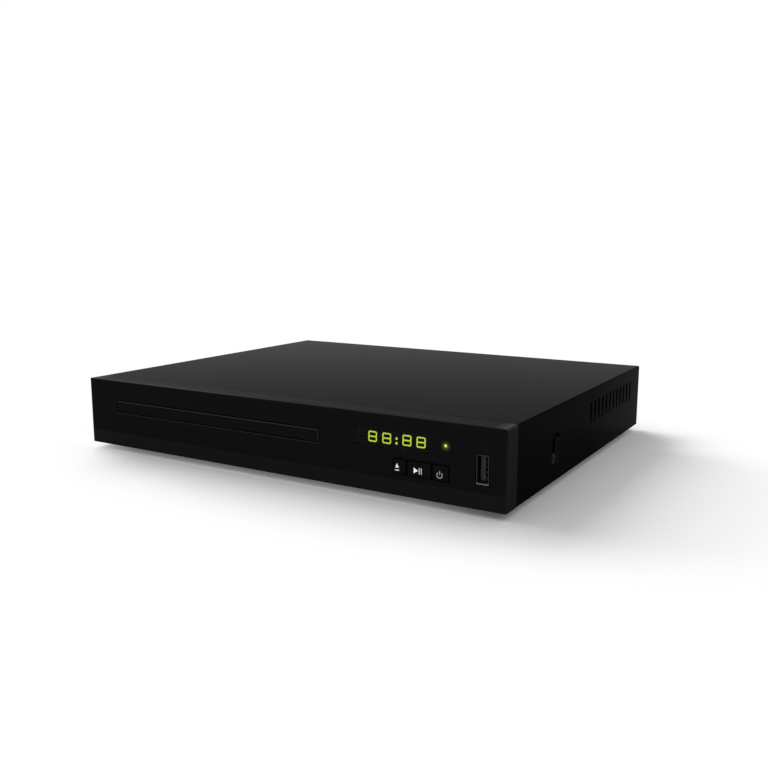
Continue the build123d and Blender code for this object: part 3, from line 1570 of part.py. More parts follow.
NODES = {
    "front_bezel": front_bezel,
    "display_window": display_window,
    "power_led": power_led,
    "eject_button": lambda: button(0),
    "play_button": lambda: button(1),
    "power_button": lambda: button(2),
    "tact_switches": tact_switches,
    "socket_shell": socket_shell,
    "socket_tongue": socket_tongue,
    "front_board": front_board,
    "clock_display": clock_display,
    "display_segments": display_segments,
    "ir_receiver": ir_receiver,
    "front_board_screws": front_board_screws,
    "top_cover": top_cover,
    "side_screws": side_screws,
    "rear_screws": rear_screws,
    "chassis_base": chassis_base,
    "back_panel": back_panel,
    "rubber_feet": rubber_feet,
    "tray_door": tray_door,
    "disc_tray": disc_tray,
    "loader_frame": loader_frame,
    "loader_screws": loader_screws,
    "clamp_bridge": clamp_bridge,
    "clamp_puck": clamp_puck,
    "drive_gear": drive_gear,
    "pulley_gear": pulley_gear,
    "motor_pulley": motor_pulley,
    "drive_belt": drive_belt,
    "loading_motor": loading_motor,
    "cam_slider": cam_slider,
    "traverse_deck": traverse_deck,
    "spindle_motor": spindle_motor,
    "turntable": turntable,
    "guide_rods": guide_rods,
    "lead_screw": lead_screw,
    "sled_motor": sled_motor,
    "pickup_sled": pickup_sled,
    "objective_lens": objective_lens,
    "power_board": lambda: circuit_board(power_board_box),
    "main_board": lambda: circuit_board(main_board_box),
    "board_screws": board_screws,
    "main_chips": main_chips,
    "board_capacitors": board_capacitors,
    "mains_capacitor": mains_capacitor,
    "transformer": transformer,
    "heat_sink": heat_sink,
    "power_connector": power_connector,
    "mains_wires": mains_wires,
    "front_ribbon": front_ribbon,
    "video_socket": video_socket,
    "av_jacks": av_jacks,
    "jack_collars": jack_collars,
    "mains_inlet": mains_inlet,
    "inlet_pins": inlet_pins,
}


def main():
    """Write every piece to its own file."""
    os.makedirs("parts", exist_ok=True)
    for name, make in NODES.items():
        export_step(make(), f"parts/{name}.step")


main()
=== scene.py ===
"""The looks of a slim disc player with a motor-driven tray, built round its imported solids."""

from __future__ import annotations

import logging
import math
from collections.abc import Iterable, Mapping, Sequence
from dataclasses import dataclass
from enum import Enum

import bmesh
import bpy
from mathutils import Matrix, Vector

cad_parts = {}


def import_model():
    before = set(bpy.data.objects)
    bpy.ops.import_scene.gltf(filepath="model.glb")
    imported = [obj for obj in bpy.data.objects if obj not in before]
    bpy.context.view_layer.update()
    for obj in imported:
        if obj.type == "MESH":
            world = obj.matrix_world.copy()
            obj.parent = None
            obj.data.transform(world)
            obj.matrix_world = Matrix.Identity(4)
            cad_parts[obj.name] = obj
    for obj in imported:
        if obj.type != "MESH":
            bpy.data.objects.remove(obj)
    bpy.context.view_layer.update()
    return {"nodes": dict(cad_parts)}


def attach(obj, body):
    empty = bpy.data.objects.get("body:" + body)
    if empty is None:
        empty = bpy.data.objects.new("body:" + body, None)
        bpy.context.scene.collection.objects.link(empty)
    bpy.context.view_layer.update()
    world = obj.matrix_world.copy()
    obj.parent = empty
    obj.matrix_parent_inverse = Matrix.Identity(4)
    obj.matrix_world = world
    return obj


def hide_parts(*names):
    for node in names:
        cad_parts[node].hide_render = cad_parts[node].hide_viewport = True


log = logging.getLogger("disc_player")

MM = 0.001
Point = tuple[float, float, float]
Pair = tuple[float, float]
Place = tuple[Point, Point]
Limit = tuple[str, float, float]
Colour = tuple[float, float, float, float]
Socket = bpy.types.NodeSocket

BLACK: Colour = (0.0, 0.0, 0.0, 1.0)
WHITE: Colour = (1.0, 1.0, 1.0, 1.0)
UP: Point = (0.0, 0.0, 1.0)
REARWARD: Point = (0.0, 1.0, 0.0)


def linear(hex_colour: str) -> Colour:
    """Turn an sRGB hex colour into linear light.

    Args:
        hex_colour: Six hex digits, with or without a leading hash.

    Returns:
        Red, green, blue and a full alpha.
    """
    digits = hex_colour.lstrip("#")
    shares = [int(digits[at : at + 2], 16) / 255 for at in (0, 2, 4)]
    red, green, blue = (
        share / 12.92 if share <= 0.04045 else ((share + 0.055) / 1.055) ** 2.4 for share in shares
    )
    return (red, green, blue, 1.0)


def metres(x: float, y: float, z: float) -> Point:
    """Turn a place in millimetres into metres."""
    return (x * MM, y * MM, z * MM)


def per_metre(size_mm: float) -> float:
    """Give the texture scale at which a pattern repeats about every so many millimetres."""
    return 1.0 / (size_mm * MM)


def fill(node: bpy.types.Node, inputs: Mapping[str | int, object]) -> None:
    """Set or link a node's inputs.

    Args:
        node: The node.
        inputs: Values or other nodes' outputs, by input name or number; a list holds several for one input.
    """
    for key, value in inputs.items():
        for item in value if isinstance(value, list) else [value]:
            if isinstance(item, Socket):
                node.id_data.links.new(item, node.inputs[key])
            else:
                node.inputs[key].default_value = item


def add_node(
    tree: bpy.types.NodeTree,
    kind: str,
    inputs: Mapping[str | int, object] | None = None,
    out: str | int = 0,
    **settings: object,
) -> Socket:
    """Add one node with its settings, fill or link its inputs, and hand out one of its outputs.

    Args:
        tree: The shader or geometry tree that gets the node.
        kind: Blender's own name for the kind of node.
        inputs: Values or other nodes' outputs, by input name or number.
        out: The wanted output's name or number.
        settings: Properties of the node itself.

    Returns:
        The output.
    """
    node = tree.nodes.new(kind)
    for name, value in settings.items():
        setattr(node, name, value)
    fill(node, inputs or {})
    return node.outputs[out]


def seen_by_eye(tree: bpy.types.NodeTree) -> Socket:
    """Give one for rays from the camera, mirrored or through glass too, and nothing for the room's light.

    Args:
        tree: The material's or the world's node tree.

    Returns:
        The share.
    """
    rays = add_node(tree, "ShaderNodeLightPath").node.outputs
    seen = rays["Is Camera Ray"]
    for name in ("Is Glossy Ray", "Is Transmission Ray"):
        seen = add_node(tree, "ShaderNodeMath", {0: seen, 1: rays[name]}, operation="MAXIMUM")
    return seen


@dataclass(frozen=True)
class Zone:
    """A part of a surface that is given another colour, most often painted light or shade.

    A limit is an axis, a place and half the width of the change there, both in millimetres. Bars round
    the axis's name mean the distance from the middle.
    """

    colour: str = ""
    past: tuple[Limit, ...] = ()
    before: tuple[Limit, ...] = ()

    def share(self, tree: bpy.types.NodeTree) -> Socket:
        """Give one where every limit holds, and nothing elsewhere.

        Args:
            tree: The material's node tree.

        Returns:
            The share.
        """
        place = add_node(tree, "ShaderNodeTexCoord", out="Object")
        axes = add_node(tree, "ShaderNodeSeparateXYZ", {"Vector": place}).node.outputs
        share: Socket | float = 1.0
        for limits, start, end in ((self.past, 0.0, 1.0), (self.before, 1.0, 0.0)):
            for axis, at_mm, fade_mm in limits:
                value = axes[axis.strip("|")]
                if "|" in axis:
                    value = add_node(tree, "ShaderNodeMath", {0: value}, operation="ABSOLUTE")
                span = {"From Min": (at_mm - fade_mm) * MM, "From Max": (at_mm + fade_mm) * MM}
                ends = {"To Min": start, "To Max": end}
                step = add_node(tree, "ShaderNodeMapRange", {"Value": value, **span, **ends})
                share = add_node(tree, "ShaderNodeMath", {0: share, 1: step}, operation="MULTIPLY")
        return share

    def paint(self, shader: bpy.types.Node) -> None:
        """Lay the zone's colour over the shader's colour.

        Args:
            shader: The Principled shader, with its colour linked already.
        """
        tree = shader.id_data
        colours = {6: shader.inputs["Base Color"].links[0].from_socket, 7: linear(self.colour)}
        mixed = add_node(tree, "ShaderNodeMix", {0: self.share(tree), **colours}, out=2, data_type="RGBA")
        fill(shader, {"Base Color": mixed})


# Finishes


@dataclass(frozen=True)
class Finish:
    """One real material with its surface, as numbers and a small pattern."""

    name: str
    colour: str
    roughness: float
    specular: float = 0.5
    ior: float = 1.5
    metallic: float = 0.0
    grain_mm: float = 0.8
    grain_height_mm: float = 0.004
    mottle_mm: float = 30.0
    mottle: float = 0.08
    drift: Pair = (0.3, 0.7)
    smoothest: float = 0.02
    zones: tuple[Zone, ...] = ()

    def material(self) -> bpy.types.Material:
        """Build the material once, and hand out the same one after that.

        Returns:
            The material.
        """
        made = bpy.data.materials.get(self.name)
        if made is not None:
            return made
        made = bpy.data.materials.new(self.name)
        made.use_nodes = True
        colour = linear(self.colour)
        made.diffuse_color = colour
        shader = made.node_tree.nodes["Principled BSDF"]
        fill(shader, {"Base Color": colour, "Roughness": self.roughness, "Metallic": self.metallic})
        if self.metallic < 1.0:
            fill(shader, {"Specular IOR Level": self.specular, "IOR": self.ior})
        self.pattern(shader)
        for zone in self.zones:
            zone.paint(shader)
        return made

    def pattern(self, shader: bpy.types.Node) -> None:
        """Add the fine grain and the slow change in gloss of a moulded surface.

        Args:
            shader: The Principled shader that they feed.
        """
        tree = shader.id_data
        place = add_node(tree, "ShaderNodeTexCoord", out="Object")
        cloud = {"Vector": place, "Scale": per_metre(self.grain_mm), "Detail": 3.0}
        self.roughen(shader, add_node(tree, "ShaderNodeTexNoise", cloud))
        self.vary(shader, place)

    def roughen(self, shader: bpy.types.Node, height: Socket, strength: float = 1.0) -> None:
        """Raise the surface's grain by a height map."""
        rise = {"Height": height, "Distance": self.grain_height_mm * MM, "Strength": strength}
        fill(shader, {"Normal": add_node(shader.id_data, "ShaderNodeBump", rise)})

    def vary(self, shader: bpy.types.Node, place: Socket) -> None:
        """Let gloss and colour drift slowly over the surface.

        Args:
            shader: The Principled shader that they feed.
            place: The object coordinates.
        """
        tree = shader.id_data
        cloud = {"Vector": place, "Scale": per_metre(self.mottle_mm), "Detail": 2.0}
        drift = add_node(tree, "ShaderNodeTexNoise", cloud)
        least, most = self.drift
        span = {"Value": drift, "From Min": least, "From Max": most}
        low, high = max(self.roughness - self.mottle, self.smoothest), min(self.roughness + self.mottle, 1.0)
        rough = add_node(tree, "ShaderNodeMapRange", {**span, "To Min": low, "To Max": high})
        colour = linear(self.colour)
        paler = tuple(min(share * (1.0 + 2.0 * self.mottle), 1.0) for share in colour)
        tint = add_node(tree, "ShaderNodeMix", {0: drift, 6: colour, 7: paler}, out=2, data_type="RGBA")
        fill(shader, {"Roughness": rough, "Base Color": tint})


@dataclass(frozen=True)
class SheetMetal(Finish):
    """Plated or rolled metal with fine rolling lines along one axis."""

    metallic: float = 1.0
    lines_mm: float = 0.5
    stretch: Point = (1.0, 0.03, 1.0)
    spangle_mm: float = 0.0
    spangle_gloss: Pair = (-0.1, 0.14)
    spangle_shade: float = 0.78

    def pattern(self, shader: bpy.types.Node) -> None:
        """Draw the rolling lines, and the zinc crystals where the coat has them.

        Args:
            shader: The Principled shader that it feeds.
        """
        tree = shader.id_data
        place = add_node(tree, "ShaderNodeTexCoord", out="Object")
        drawn = add_node(tree, "ShaderNodeMapping", {"Vector": place, "Scale": self.stretch})
        lines = {"Vector": drawn, "Scale": per_metre(self.lines_mm), "Detail": 4.0}
        self.roughen(shader, add_node(tree, "ShaderNodeTexNoise", lines))
        self.vary(shader, place)
        if not self.spangle_mm:
            return
        cells = {"Vector": place, "Scale": per_metre(self.spangle_mm)}
        crystals = add_node(tree, "ShaderNodeTexVoronoi", cells, out="Color")
        tone = add_node(tree, "ShaderNodeSeparateColor", {"Color": crystals}).node.outputs
        low, high = (self.roughness + change for change in self.spangle_gloss)
        rough = add_node(tree, "ShaderNodeMapRange", {"Value": tone[0], "To Min": low, "To Max": high})
        colour = linear(self.colour)
        dull = (*(share * self.spangle_shade for share in colour[:3]), 1.0)
        tint = add_node(tree, "ShaderNodeMix", {0: tone[1], 6: colour, 7: dull}, out=2, data_type="RGBA")
        fill(shader, {"Roughness": rough, "Base Color": tint})


@dataclass(frozen=True)
class LitPlastic(Finish):
    """Clear plastic that a light shines through from behind."""

    glow: str = "#b4e61e"
    strength: float = 1.0
    core: str = "#e6ff78"
    cell_mm: float = 1.4

    def pattern(self, shader: bpy.types.Node) -> None:
        """Light the surface, brighter where the core shows.

        Args:
            shader: The Principled shader that it feeds.
        """
        tree = shader.id_data
        colours = {6: linear(self.glow), 7: linear(self.core)}
        tint = add_node(tree, "ShaderNodeMix", {0: self.share(tree), **colours}, out=2, data_type="RGBA")
        fill(shader, {"Emission Color": tint, "Emission Strength": self.strength})

    def share(self, tree: bpy.types.NodeTree) -> Socket:
        """Show the core a little unevenly, in soft spots over each lamp.

        Args:
            tree: The material's node tree.

        Returns:
            The share of the core's colour.
        """
        place = add_node(tree, "ShaderNodeTexCoord", out="Object")
        spots = {"Vector": place, "Scale": per_metre(self.cell_mm), "Detail": 1.0}
        return add_node(tree, "ShaderNodeTexNoise", spots)


def fade_around(tree: bpy.types.NodeTree, centre: Point, reach_mm: Pair, ease: str) -> Socket:
    """Make a share that falls from one to nothing with the distance from a point.

    Args:
        tree: The material's node tree.
        centre: The point, in metres.
        reach_mm: Where the fall starts and ends.
        ease: How it runs between them.

    Returns:
        The share.
    """
    place = add_node(tree, "ShaderNodeTexCoord", out="Object")
    away = add_node(tree, "ShaderNodeVectorMath", {0: place, 1: centre}, out="Value", operation="DISTANCE")
    near, far = reach_mm
    span = {"From Min": near * MM, "From Max": far * MM, "To Min": 1.0, "To Max": 0.0}
    return add_node(tree, "ShaderNodeMapRange", {"Value": away, **span}, interpolation_type=ease)


@dataclass(frozen=True)
class PilotLight(LitPlastic):
    """The end of a light pipe: a hot middle that dies away towards its rim."""

    centre: Point = (0.10065, -0.11, 0.0303)
    reach_mm: Pair = (0.15, 0.95)

    def share(self, tree: bpy.types.NodeTree) -> Socket:
        """Fade the core from the middle of the pipe's end outwards."""
        return fade_around(tree, self.centre, self.reach_mm, "SMOOTHSTEP")


@dataclass(frozen=True)
class HaloMoulding(Finish):
    """Black moulding with a painted glow: a faint halo round the pilot light."""

    centre: Point = (0.1008, -0.11, 0.0301)
    reach_mm: Pair = (0.9, 3.4)
    glow: str = "#7aa80a"
    strength: float = 0.13

    def pattern(self, shader: bpy.types.Node) -> None:
        """Add the painted glow of the halo to the plain moulding's grain.

        Args:
            shader: The Principled shader that it feeds.
        """
        super().pattern(shader)
        tree = shader.id_data
        fall = fade_around(tree, self.centre, self.reach_mm, "SMOOTHERSTEP")
        square = add_node(tree, "ShaderNodeMath", {0: fall, 1: 2.0}, operation="POWER")
        colours = {6: BLACK, 7: linear(self.glow)}
        tint = add_node(tree, "ShaderNodeMix", {0: square, **colours}, out=2, data_type="RGBA")
        fill(shader, {"Emission Color": tint, "Emission Strength": self.strength})


@dataclass(frozen=True)
class PaintedGlow(Finish):
    """A finish with a painted glow: it gives back a little more than it is lit with."""

    lift: float = 0.3

    def pattern(self, shader: bpy.types.Node) -> None:
        """Add a painted glow in the surface's own colour to its grain."""
        super().pattern(shader)
        fill(shader, {"Emission Color": linear(self.colour), "Emission Strength": self.lift})


@dataclass(frozen=True)
class SmokedAcrylic(Finish):
    """Dark see-through sheet, polished on its face."""

    clear: float = 0.6

    def pattern(self, shader: bpy.types.Node) -> None:
        """Keep the moulding's faint grain, and let what lies behind show."""
        super().pattern(shader)
        fill(shader, {"Alpha": 1.0 - self.clear})


@dataclass(frozen=True)
class CircuitLaminate(Finish):
    """Circuit board with tracks under its coat, and tinned pads."""

    track: str = "#2f7d46"
    pad: str = "#b9bdb4"
    pitch_mm: float = 2.4
    weave_mm: float = 0.7
    weave_strength: float = 0.6
    pad_edge: Pair = (0.1, 0.13)
    track_shade: float = 0.86

    def pattern(self, shader: bpy.types.Node) -> None:
        """Draw straight stepped tracks and round pads in the board's own plane.

        Args:
            shader: The Principled shader that it feeds.
        """
        tree = shader.id_data
        place = add_node(tree, "ShaderNodeTexCoord", out="Object")
        coat = linear(self.colour)
        rows = {
            "Vector": place,
            "Color1": coat,
            "Color2": tuple(share * self.track_shade for share in coat),
            "Mortar": linear(self.track),
            "Scale": per_metre(self.pitch_mm) * 0.25,
            "Mortar Size": 0.03,
            "Mortar Smooth": 0.2,
            "Brick Width": 2.6,
            "Row Height": 0.6,
        }
        tracks = add_node(tree, "ShaderNodeTexBrick", rows)
        spread = {"Vector": place, "Scale": per_metre(self.pitch_mm * 2.0), "Randomness": 0.9}
        low, high = self.pad_edge
        span = {"From Min": low, "From Max": high, "To Min": 1.0, "To Max": 0.0}
        dots = add_node(tree, "ShaderNodeTexVoronoi", spread)
        tinned = add_node(tree, "ShaderNodeMapRange", {"Value": dots, **span})
        colours = {6: tracks, 7: linear(self.pad)}
        tint = add_node(tree, "ShaderNodeMix", {0: tinned, **colours}, out=2, data_type="RGBA")
        fill(shader, {"Base Color": tint})
        weave = {"Vector": place, "Scale": per_metre(self.weave_mm), "Detail": 3.0}
        self.roughen(shader, add_node(tree, "ShaderNodeTexNoise", weave), self.weave_strength)


@dataclass(frozen=True)
class StripedCable(Finish):
    """Flat cable: white film over a row of tinned copper strips."""

    strip: str = "#8f938f"
    pitch_mm: float = 1.0
    strip_edge: Pair = (0.45, 0.6)

    def pattern(self, shader: bpy.types.Node) -> None:
        """Show the strips as grey lines along the cable.

        Args:
            shader: The Principled shader that it feeds.
        """
        tree = shader.id_data
        place = add_node(tree, "ShaderNodeTexCoord", out="Object")
        across = add_node(tree, "ShaderNodeSeparateXYZ", {"Vector": place}, out="X")
        pitch = self.pitch_mm * MM
        step = add_node(tree, "ShaderNodeMath", {0: across, 1: pitch}, operation="PINGPONG")
        low, high = (share * pitch for share in self.strip_edge)
        line = add_node(tree, "ShaderNodeMapRange", {"Value": step, "From Min": low, "From Max": high})
        colours = {6: linear(self.colour), 7: linear(self.strip)}
        tint = add_node(tree, "ShaderNodeMix", {0: line, **colours}, out=2, data_type="RGBA")
        fill(shader, {"Base Color": tint})


# Zones of the front moulding: painted light and shade
TOP = ("Z", 40.2, 0.4)
FACE = ("Y", -109.4, 0.4)
SLOT_LEFT = ("X", -108.2, 0.2)
SLOT_RIGHT = ("X", 31.9, 0.2)
FRONT_ZONES = (
    # Painted shade on the top face, and painted highlights on its two ends.
    Zone("#161617", past=(TOP,)),
    Zone("#3a3a3b", past=(TOP, ("|X|", 125.5, 3.0))),
    # The face in painted shade, a shade darker than the sides, and a painted reflection of the floor on the
    # band at its foot.
    Zone("#18181a", before=(FACE,)),
    Zone("#222221", before=(("Z", 11.0, 0.5), ("Y", -108.6, 2.0))),
    # A painted highlight along the upper rim, fading out to the right.
    Zone("#363637", past=(("Z", 40.75, 0.1),), before=(("Y", -107.8, 0.6), ("X", -25.0, 35.0))),
    # Painted shade on the walls of the tray's slot, and a painted highlight along its lower lip.
    Zone(
        "#020202",
        past=(SLOT_LEFT, ("Z", 22.8, 0.05), ("Y", -109.92, 0.04)),
        before=(SLOT_RIGHT, ("Z", 30.2, 0.05)),
    ),
    Zone("#2c2c2d", past=(SLOT_LEFT, ("Z", 22.35, 0.05)), before=(SLOT_RIGHT, ("Z", 22.9, 0.05), FACE)),
)

# Zones of the tray door: painted highlights on its top and right edges, and painted shade on the flanks
# behind them
DOOR_ZONES = (
    Zone("#404041", past=(("Z", 29.1, 0.08),)),
    Zone("#404041", past=(("X", 31.05, 0.08),)),
    Zone("#020202", past=(("Z", 29.5, 0.05),)),
    Zone("#020202", past=(("X", 31.35, 0.05),)),
)

# Zones of the folded cover
SIDE = ("|X|", 129.2, 0.3)
POCKET_TOP = ("Z", 37.0, 0.5)
RAMP = ("|X|", 129.85, 0.05)
COVER_ZONES = (
    # The upright sides in painted shade, darker than the top, and a painted reflection that grows paler
    # towards the rear.
    Zone("#0d0d0d", past=(SIDE,)),
    Zone("#222222", past=(SIDE, ("Y", 62.0, 55.0))),
    # The screw pockets' ramp painted paler as lit, and painted shade under their arch and on their floor.
    Zone("#1c1c1c", before=(RAMP, POCKET_TOP)),
    Zone("#0b0b0b", past=(("Z", 24.7, 0.6),), before=(RAMP, POCKET_TOP)),
    Zone("#070707", before=(("|X|", 128.3, 0.15), POCKET_TOP)),
)

# A painted highlight on the data socket's lower lip, and the white side of its contact carrier
SHELL_ZONES = (Zone("#7c7c79", before=(("Z", 15.7, 0.1),)),)
CARRIER_ZONES = (Zone("#80807a", past=(("X", 118.5, 0.05),)),)

SMOOTH = {"grain_height_mm": 0.001, "mottle": 0.01}
INK = {"grain_mm": 0.3, "mottle_mm": 3.0, "mottle": 0.02}


class Finishes:
    """Every finish on the player, each named for the real material and how it was made."""

    # Moulded ABS, near black and of one gloss all over, with painted light: the sides painted a shade greyer
    # than the face, the foot band painted paler with a reflection of the floor, and a painted glow round the
    # pilot light.
    front_moulding = HaloMoulding(
        "abs_satin_moulded_black", "#242425", 0.2, specular=0.001, zones=FRONT_ZONES, **SMOOTH
    )
    # The same ABS on the button caps, a touch smoother from handling.
    button_moulding = Finish("abs_button_moulded_black", "#18181a", 0.2, specular=0.001, **SMOOTH)
    # Tray, moulded in a slightly greyer black.
    tray_moulding = Finish("abs_tray_moulded_black", "#1a1a1b", 0.25, specular=0.004, **SMOOTH)
    # The door's polished face in the front's own black, its two lit edges rubbed paler.
    door_moulding = Finish(
        "abs_door_moulded_black", "#18181a", 0.2, specular=0.001, zones=DOOR_ZONES, **SMOOTH
    )
    # Inner frame in unpolished ABS: dull, with drifting gloss.
    frame_moulding = Finish("abs_frame_moulded_black", "#151516", 0.6, specular=0.25, grain_mm=1.2)
    # Satin powder paint on folded steel: fine orange peel that softens reflections.
    cover_paint = Finish(
        "satin_painted_steel_black",
        "#141415",
        0.14,
        specular=0.0007,
        grain_mm=1.4,
        zones=COVER_ZONES,
        **SMOOTH,
    )
    # Smoked acrylic: polished and dark, clear enough for lit bars behind it.
    window_sheet = SmokedAcrylic(
        "smoked_acrylic_polished", "#1e1e1f", 0.2, specular=0.001, ior=1.49, clear=0.3, **SMOOTH
    )
    # Phosphor bars behind film: even yellow-green light, strong because the film holds most of it back.
    display_bars = LitPlastic(
        "display_bars_lit", "#0c1004", 0.4, glow="#a4ca18", core="#e6ff5e", strength=8.6
    )
    # Light pipe: pale hot middle, deep green at its rim.
    pilot_pipe = PilotLight("light_pipe_lit", "#1a2206", 0.3, glow="#3e4e00", core="#e6fa5c", strength=1.05)
    # Black epoxy display module with a painted glow, as dim as the film in front, so the film shows no edge
    # of it.
    module_case = PaintedGlow("display_module_epoxy_black", "#060606", 0.5, specular=0.1, lift=3.0)
    # Screen-printed white ink, thin and slightly grainy, with a faint painted glow.
    white_ink = PaintedGlow("printed_ink_white", "#fafafa", 0.6, specular=0.2, **INK)
    # The power mark's ink, a thinner and greyer coat.
    grey_ink = Finish("printed_ink_pale_grey", "#c4c4c4", 0.6, specular=0.1, **INK)
    # Nickel-plated steel: bright, with faint drawing lines.
    nickel_plate = SheetMetal("nickel_plated_steel_drawn", "#b9b6ae", 0.28)
    # The data socket's shell: nickel in painted shade, dark where the room doesn't reach it, with a painted
    # highlight on its lower lip.
    socket_nickel = SheetMetal("nickel_plated_steel_folded_painted_shade", "#343433", 0.42, zones=SHELL_ZONES)
    # Zinc-plated screws: pale, slightly blue and soft.
    zinc_plate = SheetMetal("zinc_plated_steel_screw", "#aeb2b4", 0.38, lines_mm=0.4)
    # Galvanised pan: flat grey crystals a few millimetres across.
    galvanised = SheetMetal("galvanised_steel_pressed", "#a3a8aa", 0.42, spangle_mm=7.0)
    # Black phosphate screws: dark with a dull metal sheen.
    black_screw = Finish("black_phosphate_steel_screw", "#2b2b2c", 0.5, specular=0.012, grain_mm=0.5)
    # Rubber feet: matt and dusty.
    foot_rubber = Finish("natural_rubber_moulded_black", "#141414", 0.85, specular=0.2, grain_mm=0.6)
    # Belt: ground square rubber cord, matt black.
    belt_rubber = Finish("chloroprene_belt_ground", "#101010", 0.7, specular=0.3, grain_mm=0.4)
    # Acetal gears: milky, slightly waxy.
    acetal = Finish("acetal_moulded_natural", "#e4e0d0", 0.38, ior=1.48, mottle=0.03)
    # White acetal puck: cooler and whiter than the gears.
    puck_acetal = Finish("acetal_moulded_white", "#dcdcd8", 0.42, mottle=0.03)
    # Plated motor cans: bright, with coarser drawing lines than the sheets.
    motor_can = SheetMetal("plated_steel_motor_can_drawn", "#aaa9a5", 0.3, lines_mm=0.7)
    # Ground steel rods: the brightest metal inside, close to a mirror.
    ground_rod = SheetMetal("stainless_steel_rod_ground", "#c8c8c6", 0.16, stretch=(1.0, 0.01, 1.0))
    # Die-cast pickup body: grey, finely blasted.
    die_cast = Finish("zinc_die_cast_blasted", "#7d7f80", 0.5, metallic=1.0, grain_mm=0.6)
    # Coated objective lens: blue reflection off clear plastic.
    lens = Finish("objective_lens_coated", "#39486c", 0.08, specular=0.8, ior=1.53, grain_height_mm=0.0)
    # Turntable plastic: dull black that shows its rim but no glint.
    turntable = Finish("turntable_moulded_black", "#141415", 0.62, specular=0.3)
    # Glass-fibre board with green resist, and the tan paper board.
    green_board = CircuitLaminate("glass_fibre_board_green", "#0e4a26", 0.35)
    tan_board = CircuitLaminate("paper_board_tan", "#a9854d", 0.5, track="#c39d60", pitch_mm=3.4)
    # Moulded chip packages: flat epoxy black.
    chip_epoxy = Finish("chip_epoxy_moulded", "#161617", 0.55, specular=0.3, grain_mm=0.4)
    # Ceramic small parts: brown, unevenly fired.
    ceramic_part = Finish("ceramic_part_fired", "#6e5a44", 0.5, grain_mm=0.5, mottle_mm=2.0, mottle=0.15)
    # Shrunk film sleeve on the cans: glossy navy.
    can_sleeve = Finish("can_sleeve_shrunk_navy", "#10162c", 0.25, mottle=0.03)
    # Ferrite and tape: charcoal, dry.
    ferrite = Finish("ferrite_sintered_taped", "#2c2c2d", 0.7, specular=0.3)
    # Plain aluminium sheet with rolling lines.
    aluminium = SheetMetal("aluminium_sheet_rolled", "#c2c4c5", 0.34)
    # Nylon connector in its natural off-white.
    connector = Finish("nylon_connector_moulded", "#e2dfd2", 0.45, mottle=0.03)
    # Brown insulated wire: slightly shiny where it bends.
    wire = Finish("pvc_wire_extruded_brown", "#3c2313", 0.4, grain_mm=0.5)
    # Flat cable: white film with grey strips showing through.
    flat_cable = StripedCable("flat_cable_laminated", "#dcdcda", 0.35)
    # Socket mouldings: two flat blacks, the inlet a shade deeper.
    jack_block = Finish("pbt_jack_block_moulded", "#1b1b1c", 0.5, specular=0.3)
    inlet_moulding = Finish("pbt_inlet_moulded_black", "#0f0f10", 0.45, specular=0.3)
    # Contact carrier: a white moulding, its front edge in grey painted shade, the white left on its contact
    # side.
    contact_carrier = Finish(
        "pbt_contact_carrier_white_painted_shade", "#3c3c3b", 0.5, specular=0.1, zones=CARRIER_ZONES
    )
    # Tinned brass pins: pale and slightly yellow.
    tinned_brass = SheetMetal("brass_pin_tinned", "#b9b3a0", 0.25)
    # Gold-flashed spring contacts: warm thin lines in the socket.
    gold_flash = SheetMetal("phosphor_bronze_gold_flashed", "#c9a860", 0.25)


# Forms grown by node trees


def link_piece(name: str, mesh: bpy.types.Mesh) -> bpy.types.Object:
    """Put a mesh into the scene as a piece at the origin.

    Args:
        name: The piece's name.
        mesh: Its mesh, in metres.

    Returns:
        The piece.
    """
    piece = bpy.data.objects.new(name, mesh)
    bpy.context.scene.collection.objects.link(piece)
    return piece


@dataclass
class GrownPiece:
    """A piece that a node tree grows from a starting mesh and named sizes."""

    name: str
    finish: Finish
    sizes_mm: Mapping[str, float]

    def shape(self, tree: bpy.types.NodeTree, start: Socket, size: Mapping[str, Socket]) -> Socket:
        """Make the piece's geometry.

        Args:
            tree: The geometry tree.
            start: The starting mesh.
            size: The tree's named size inputs.

        Returns:
            The geometry.
        """
        raise NotImplementedError

    def grow_from(self, start: bpy.types.Mesh) -> bpy.types.Object:
        """Run the tree over a starting mesh and keep the result as one plain mesh.

        Args:
            start: The mesh that the tree is given.

        Returns:
            The finished piece, at the origin and unturned.
        """
        tree = bpy.data.node_groups.new(f"{self.name}_tree", "GeometryNodeTree")
        tree.interface.new_socket(name="Geometry", in_out="INPUT", socket_type="NodeSocketGeometry")
        for label in self.sizes_mm:
            tree.interface.new_socket(name=label, in_out="INPUT", socket_type="NodeSocketFloat")
        tree.interface.new_socket(name="Geometry", in_out="OUTPUT", socket_type="NodeSocketGeometry")
        given = add_node(tree, "NodeGroupInput").node.outputs
        shaped = self.shape(tree, given["Geometry"], {label: given[label] for label in self.sizes_mm})
        real = add_node(tree, "GeometryNodeRealizeInstances", {"Geometry": shaped})
        paint = {"Geometry": real, "Material": self.finish.material()}
        painted = add_node(tree, "GeometryNodeSetMaterial", paint)
        fill(tree.nodes.new("NodeGroupOutput"), {"Geometry": painted})

        host = bpy.data.objects.new(f"{self.name}_host", start)
        bpy.context.scene.collection.objects.link(host)
        modifier = host.modifiers.new("grow", "NODES")
        modifier.node_group = tree
        for item in tree.interface.items_tree:
            if item.item_type == "SOCKET" and item.in_out == "INPUT" and item.name in self.sizes_mm:
                modifier[item.identifier] = self.sizes_mm[item.name] * MM
        graph = bpy.context.evaluated_depsgraph_get()
        mesh = bpy.data.meshes.new_from_object(host.evaluated_get(graph))
        host.modifiers.remove(modifier)
        bpy.data.objects.remove(host)
        mesh.name = self.name
        return link_piece(self.name, mesh)


